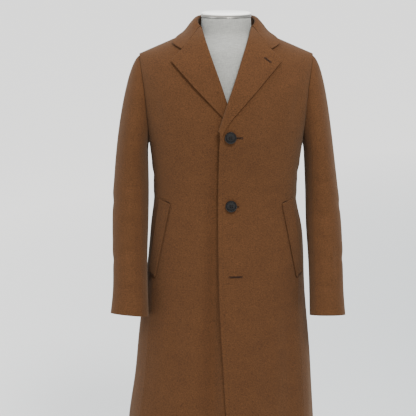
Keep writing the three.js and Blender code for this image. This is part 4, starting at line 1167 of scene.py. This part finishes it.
class OVERCOAT_OT_neck(bpy.types.Operator):
    """Make the band and the cap on the form's neck"""

    bl_idname = "overcoat.neck"
    bl_label = "Neck band and cap"

    def execute(self, context):
        low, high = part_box("form_neck_ring")
        radius = (high.x - low.x) / 2
        middle = (high.y + low.y) / 2
        band = round_piece(radius, low.z, high.z, middle)
        select_faces(band, lambda face: abs(face.normal.z) < 0.5)
        bpy.ops.mesh.inset(thickness=BAND["lip"])
        waist = (BAND["waist"], BAND["waist"], 1)
        bpy.ops.transform.resize(value=waist, center_override=(0, middle, low.z))
        softened(band, 0.0003, 2)
        nickel = bpy.data.materials["rolled_nickel_plate"]
        finished(band, "neck_band_nickel", nickel, "form_neck_ring")
        low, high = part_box("form_neck_cap")
        cap = round_piece((high.x - low.x) / 2, low.z, high.z - CAP["skirt"], middle)
        select_faces(cap, lambda face: face.normal.z > 0.9)
        stepped(CAP["steps"])
        softened(cap, 0.0012, 4, 20)
        finished(cap, "neck_cap_moulded", bpy.data.materials["moulded_abs_white"], "form_neck_cap")
        return {"FINISHED"}


class OVERCOAT_OT_stand(bpy.types.Operator):
    """Make the form's pole and foot"""

    bl_idname = "overcoat.stand"
    bl_label = "Pole and foot"

    def execute(self, context):
        steel = bpy.data.materials["brushed_stainless_steel"]
        low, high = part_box("form_pole")
        pole = round_piece(POLE["radius"], low.z, high.z - 2 * POLE["plate"])
        select_faces(pole, lambda face: face.normal.z > 0.9)
        bpy.ops.mesh.extrude_region_move(TRANSFORM_OT_translate={"value": (0, 0, POLE["plate"])})
        bpy.ops.transform.resize(value=(POLE["spread"], POLE["spread"], 1))
        bpy.ops.mesh.extrude_region_move(TRANSFORM_OT_translate={"value": (0, 0, POLE["plate"])})
        softened(pole, 0.0008)
        finished(pole, "pole_steel", steel, "form_pole")
        foot = round_piece(FOOT["radius"], 0, FOOT["thick"], sides=128)
        select_faces(foot, lambda face: face.normal.z > 0.9)
        stepped(FOOT["steps"])
        softened(foot, 0.0018, 4, 24)
        finished(foot, "foot_steel", steel, "form_foot")
        return {"FINISHED"}


class OVERCOAT_PT_panel(bpy.types.Panel):
    """Lists the steps and the settings"""

    bl_idname = "OVERCOAT_PT_panel"
    bl_label = "Overcoat"
    bl_space_type = "VIEW_3D"
    bl_region_type = "UI"
    bl_category = "Overcoat"

    def draw(self, context):
        for operator in OPERATORS:
            self.layout.operator(operator.bl_idname)
        for attribute, group in GROUPS.items():
            box = self.layout.box()
            for name in group.__annotations__:
                box.prop(getattr(context.scene, attribute), name)


OPERATORS = [
    OVERCOAT_OT_studio,
    OVERCOAT_OT_materials,
    OVERCOAT_OT_body,
    OVERCOAT_OT_sleeves,
    OVERCOAT_OT_lapels,
    OVERCOAT_OT_welts,
    OVERCOAT_OT_stitching,
    OVERCOAT_OT_buttonholes,
    OVERCOAT_OT_buttons,
    OVERCOAT_OT_torso,
    OVERCOAT_OT_neck,
    OVERCOAT_OT_stand,
]
GROUPS = {
    "overcoat_cloth": OvercoatCloth,
    "overcoat_buttons": OvercoatButtons,
    "overcoat_form": OvercoatForm,
    "overcoat_studio": OvercoatStudio,
}


def register():
    for made in (*GROUPS.values(), *OPERATORS, OVERCOAT_PT_panel):
        bpy.utils.register_class(made)
    for attribute, group in GROUPS.items():
        setattr(bpy.types.Scene, attribute, bpy.props.PointerProperty(type=group))


def unregister():
    for attribute in GROUPS:
        delattr(bpy.types.Scene, attribute)
    for made in (OVERCOAT_PT_panel, *reversed(OPERATORS), *reversed(list(GROUPS.values()))):
        bpy.utils.unregister_class(made)


def main():
    register()
    for operator in OPERATORS:
        group, name = operator.bl_idname.split(".")
        getattr(getattr(bpy.ops, group), name)()


if __name__ == "__main__":
    main()
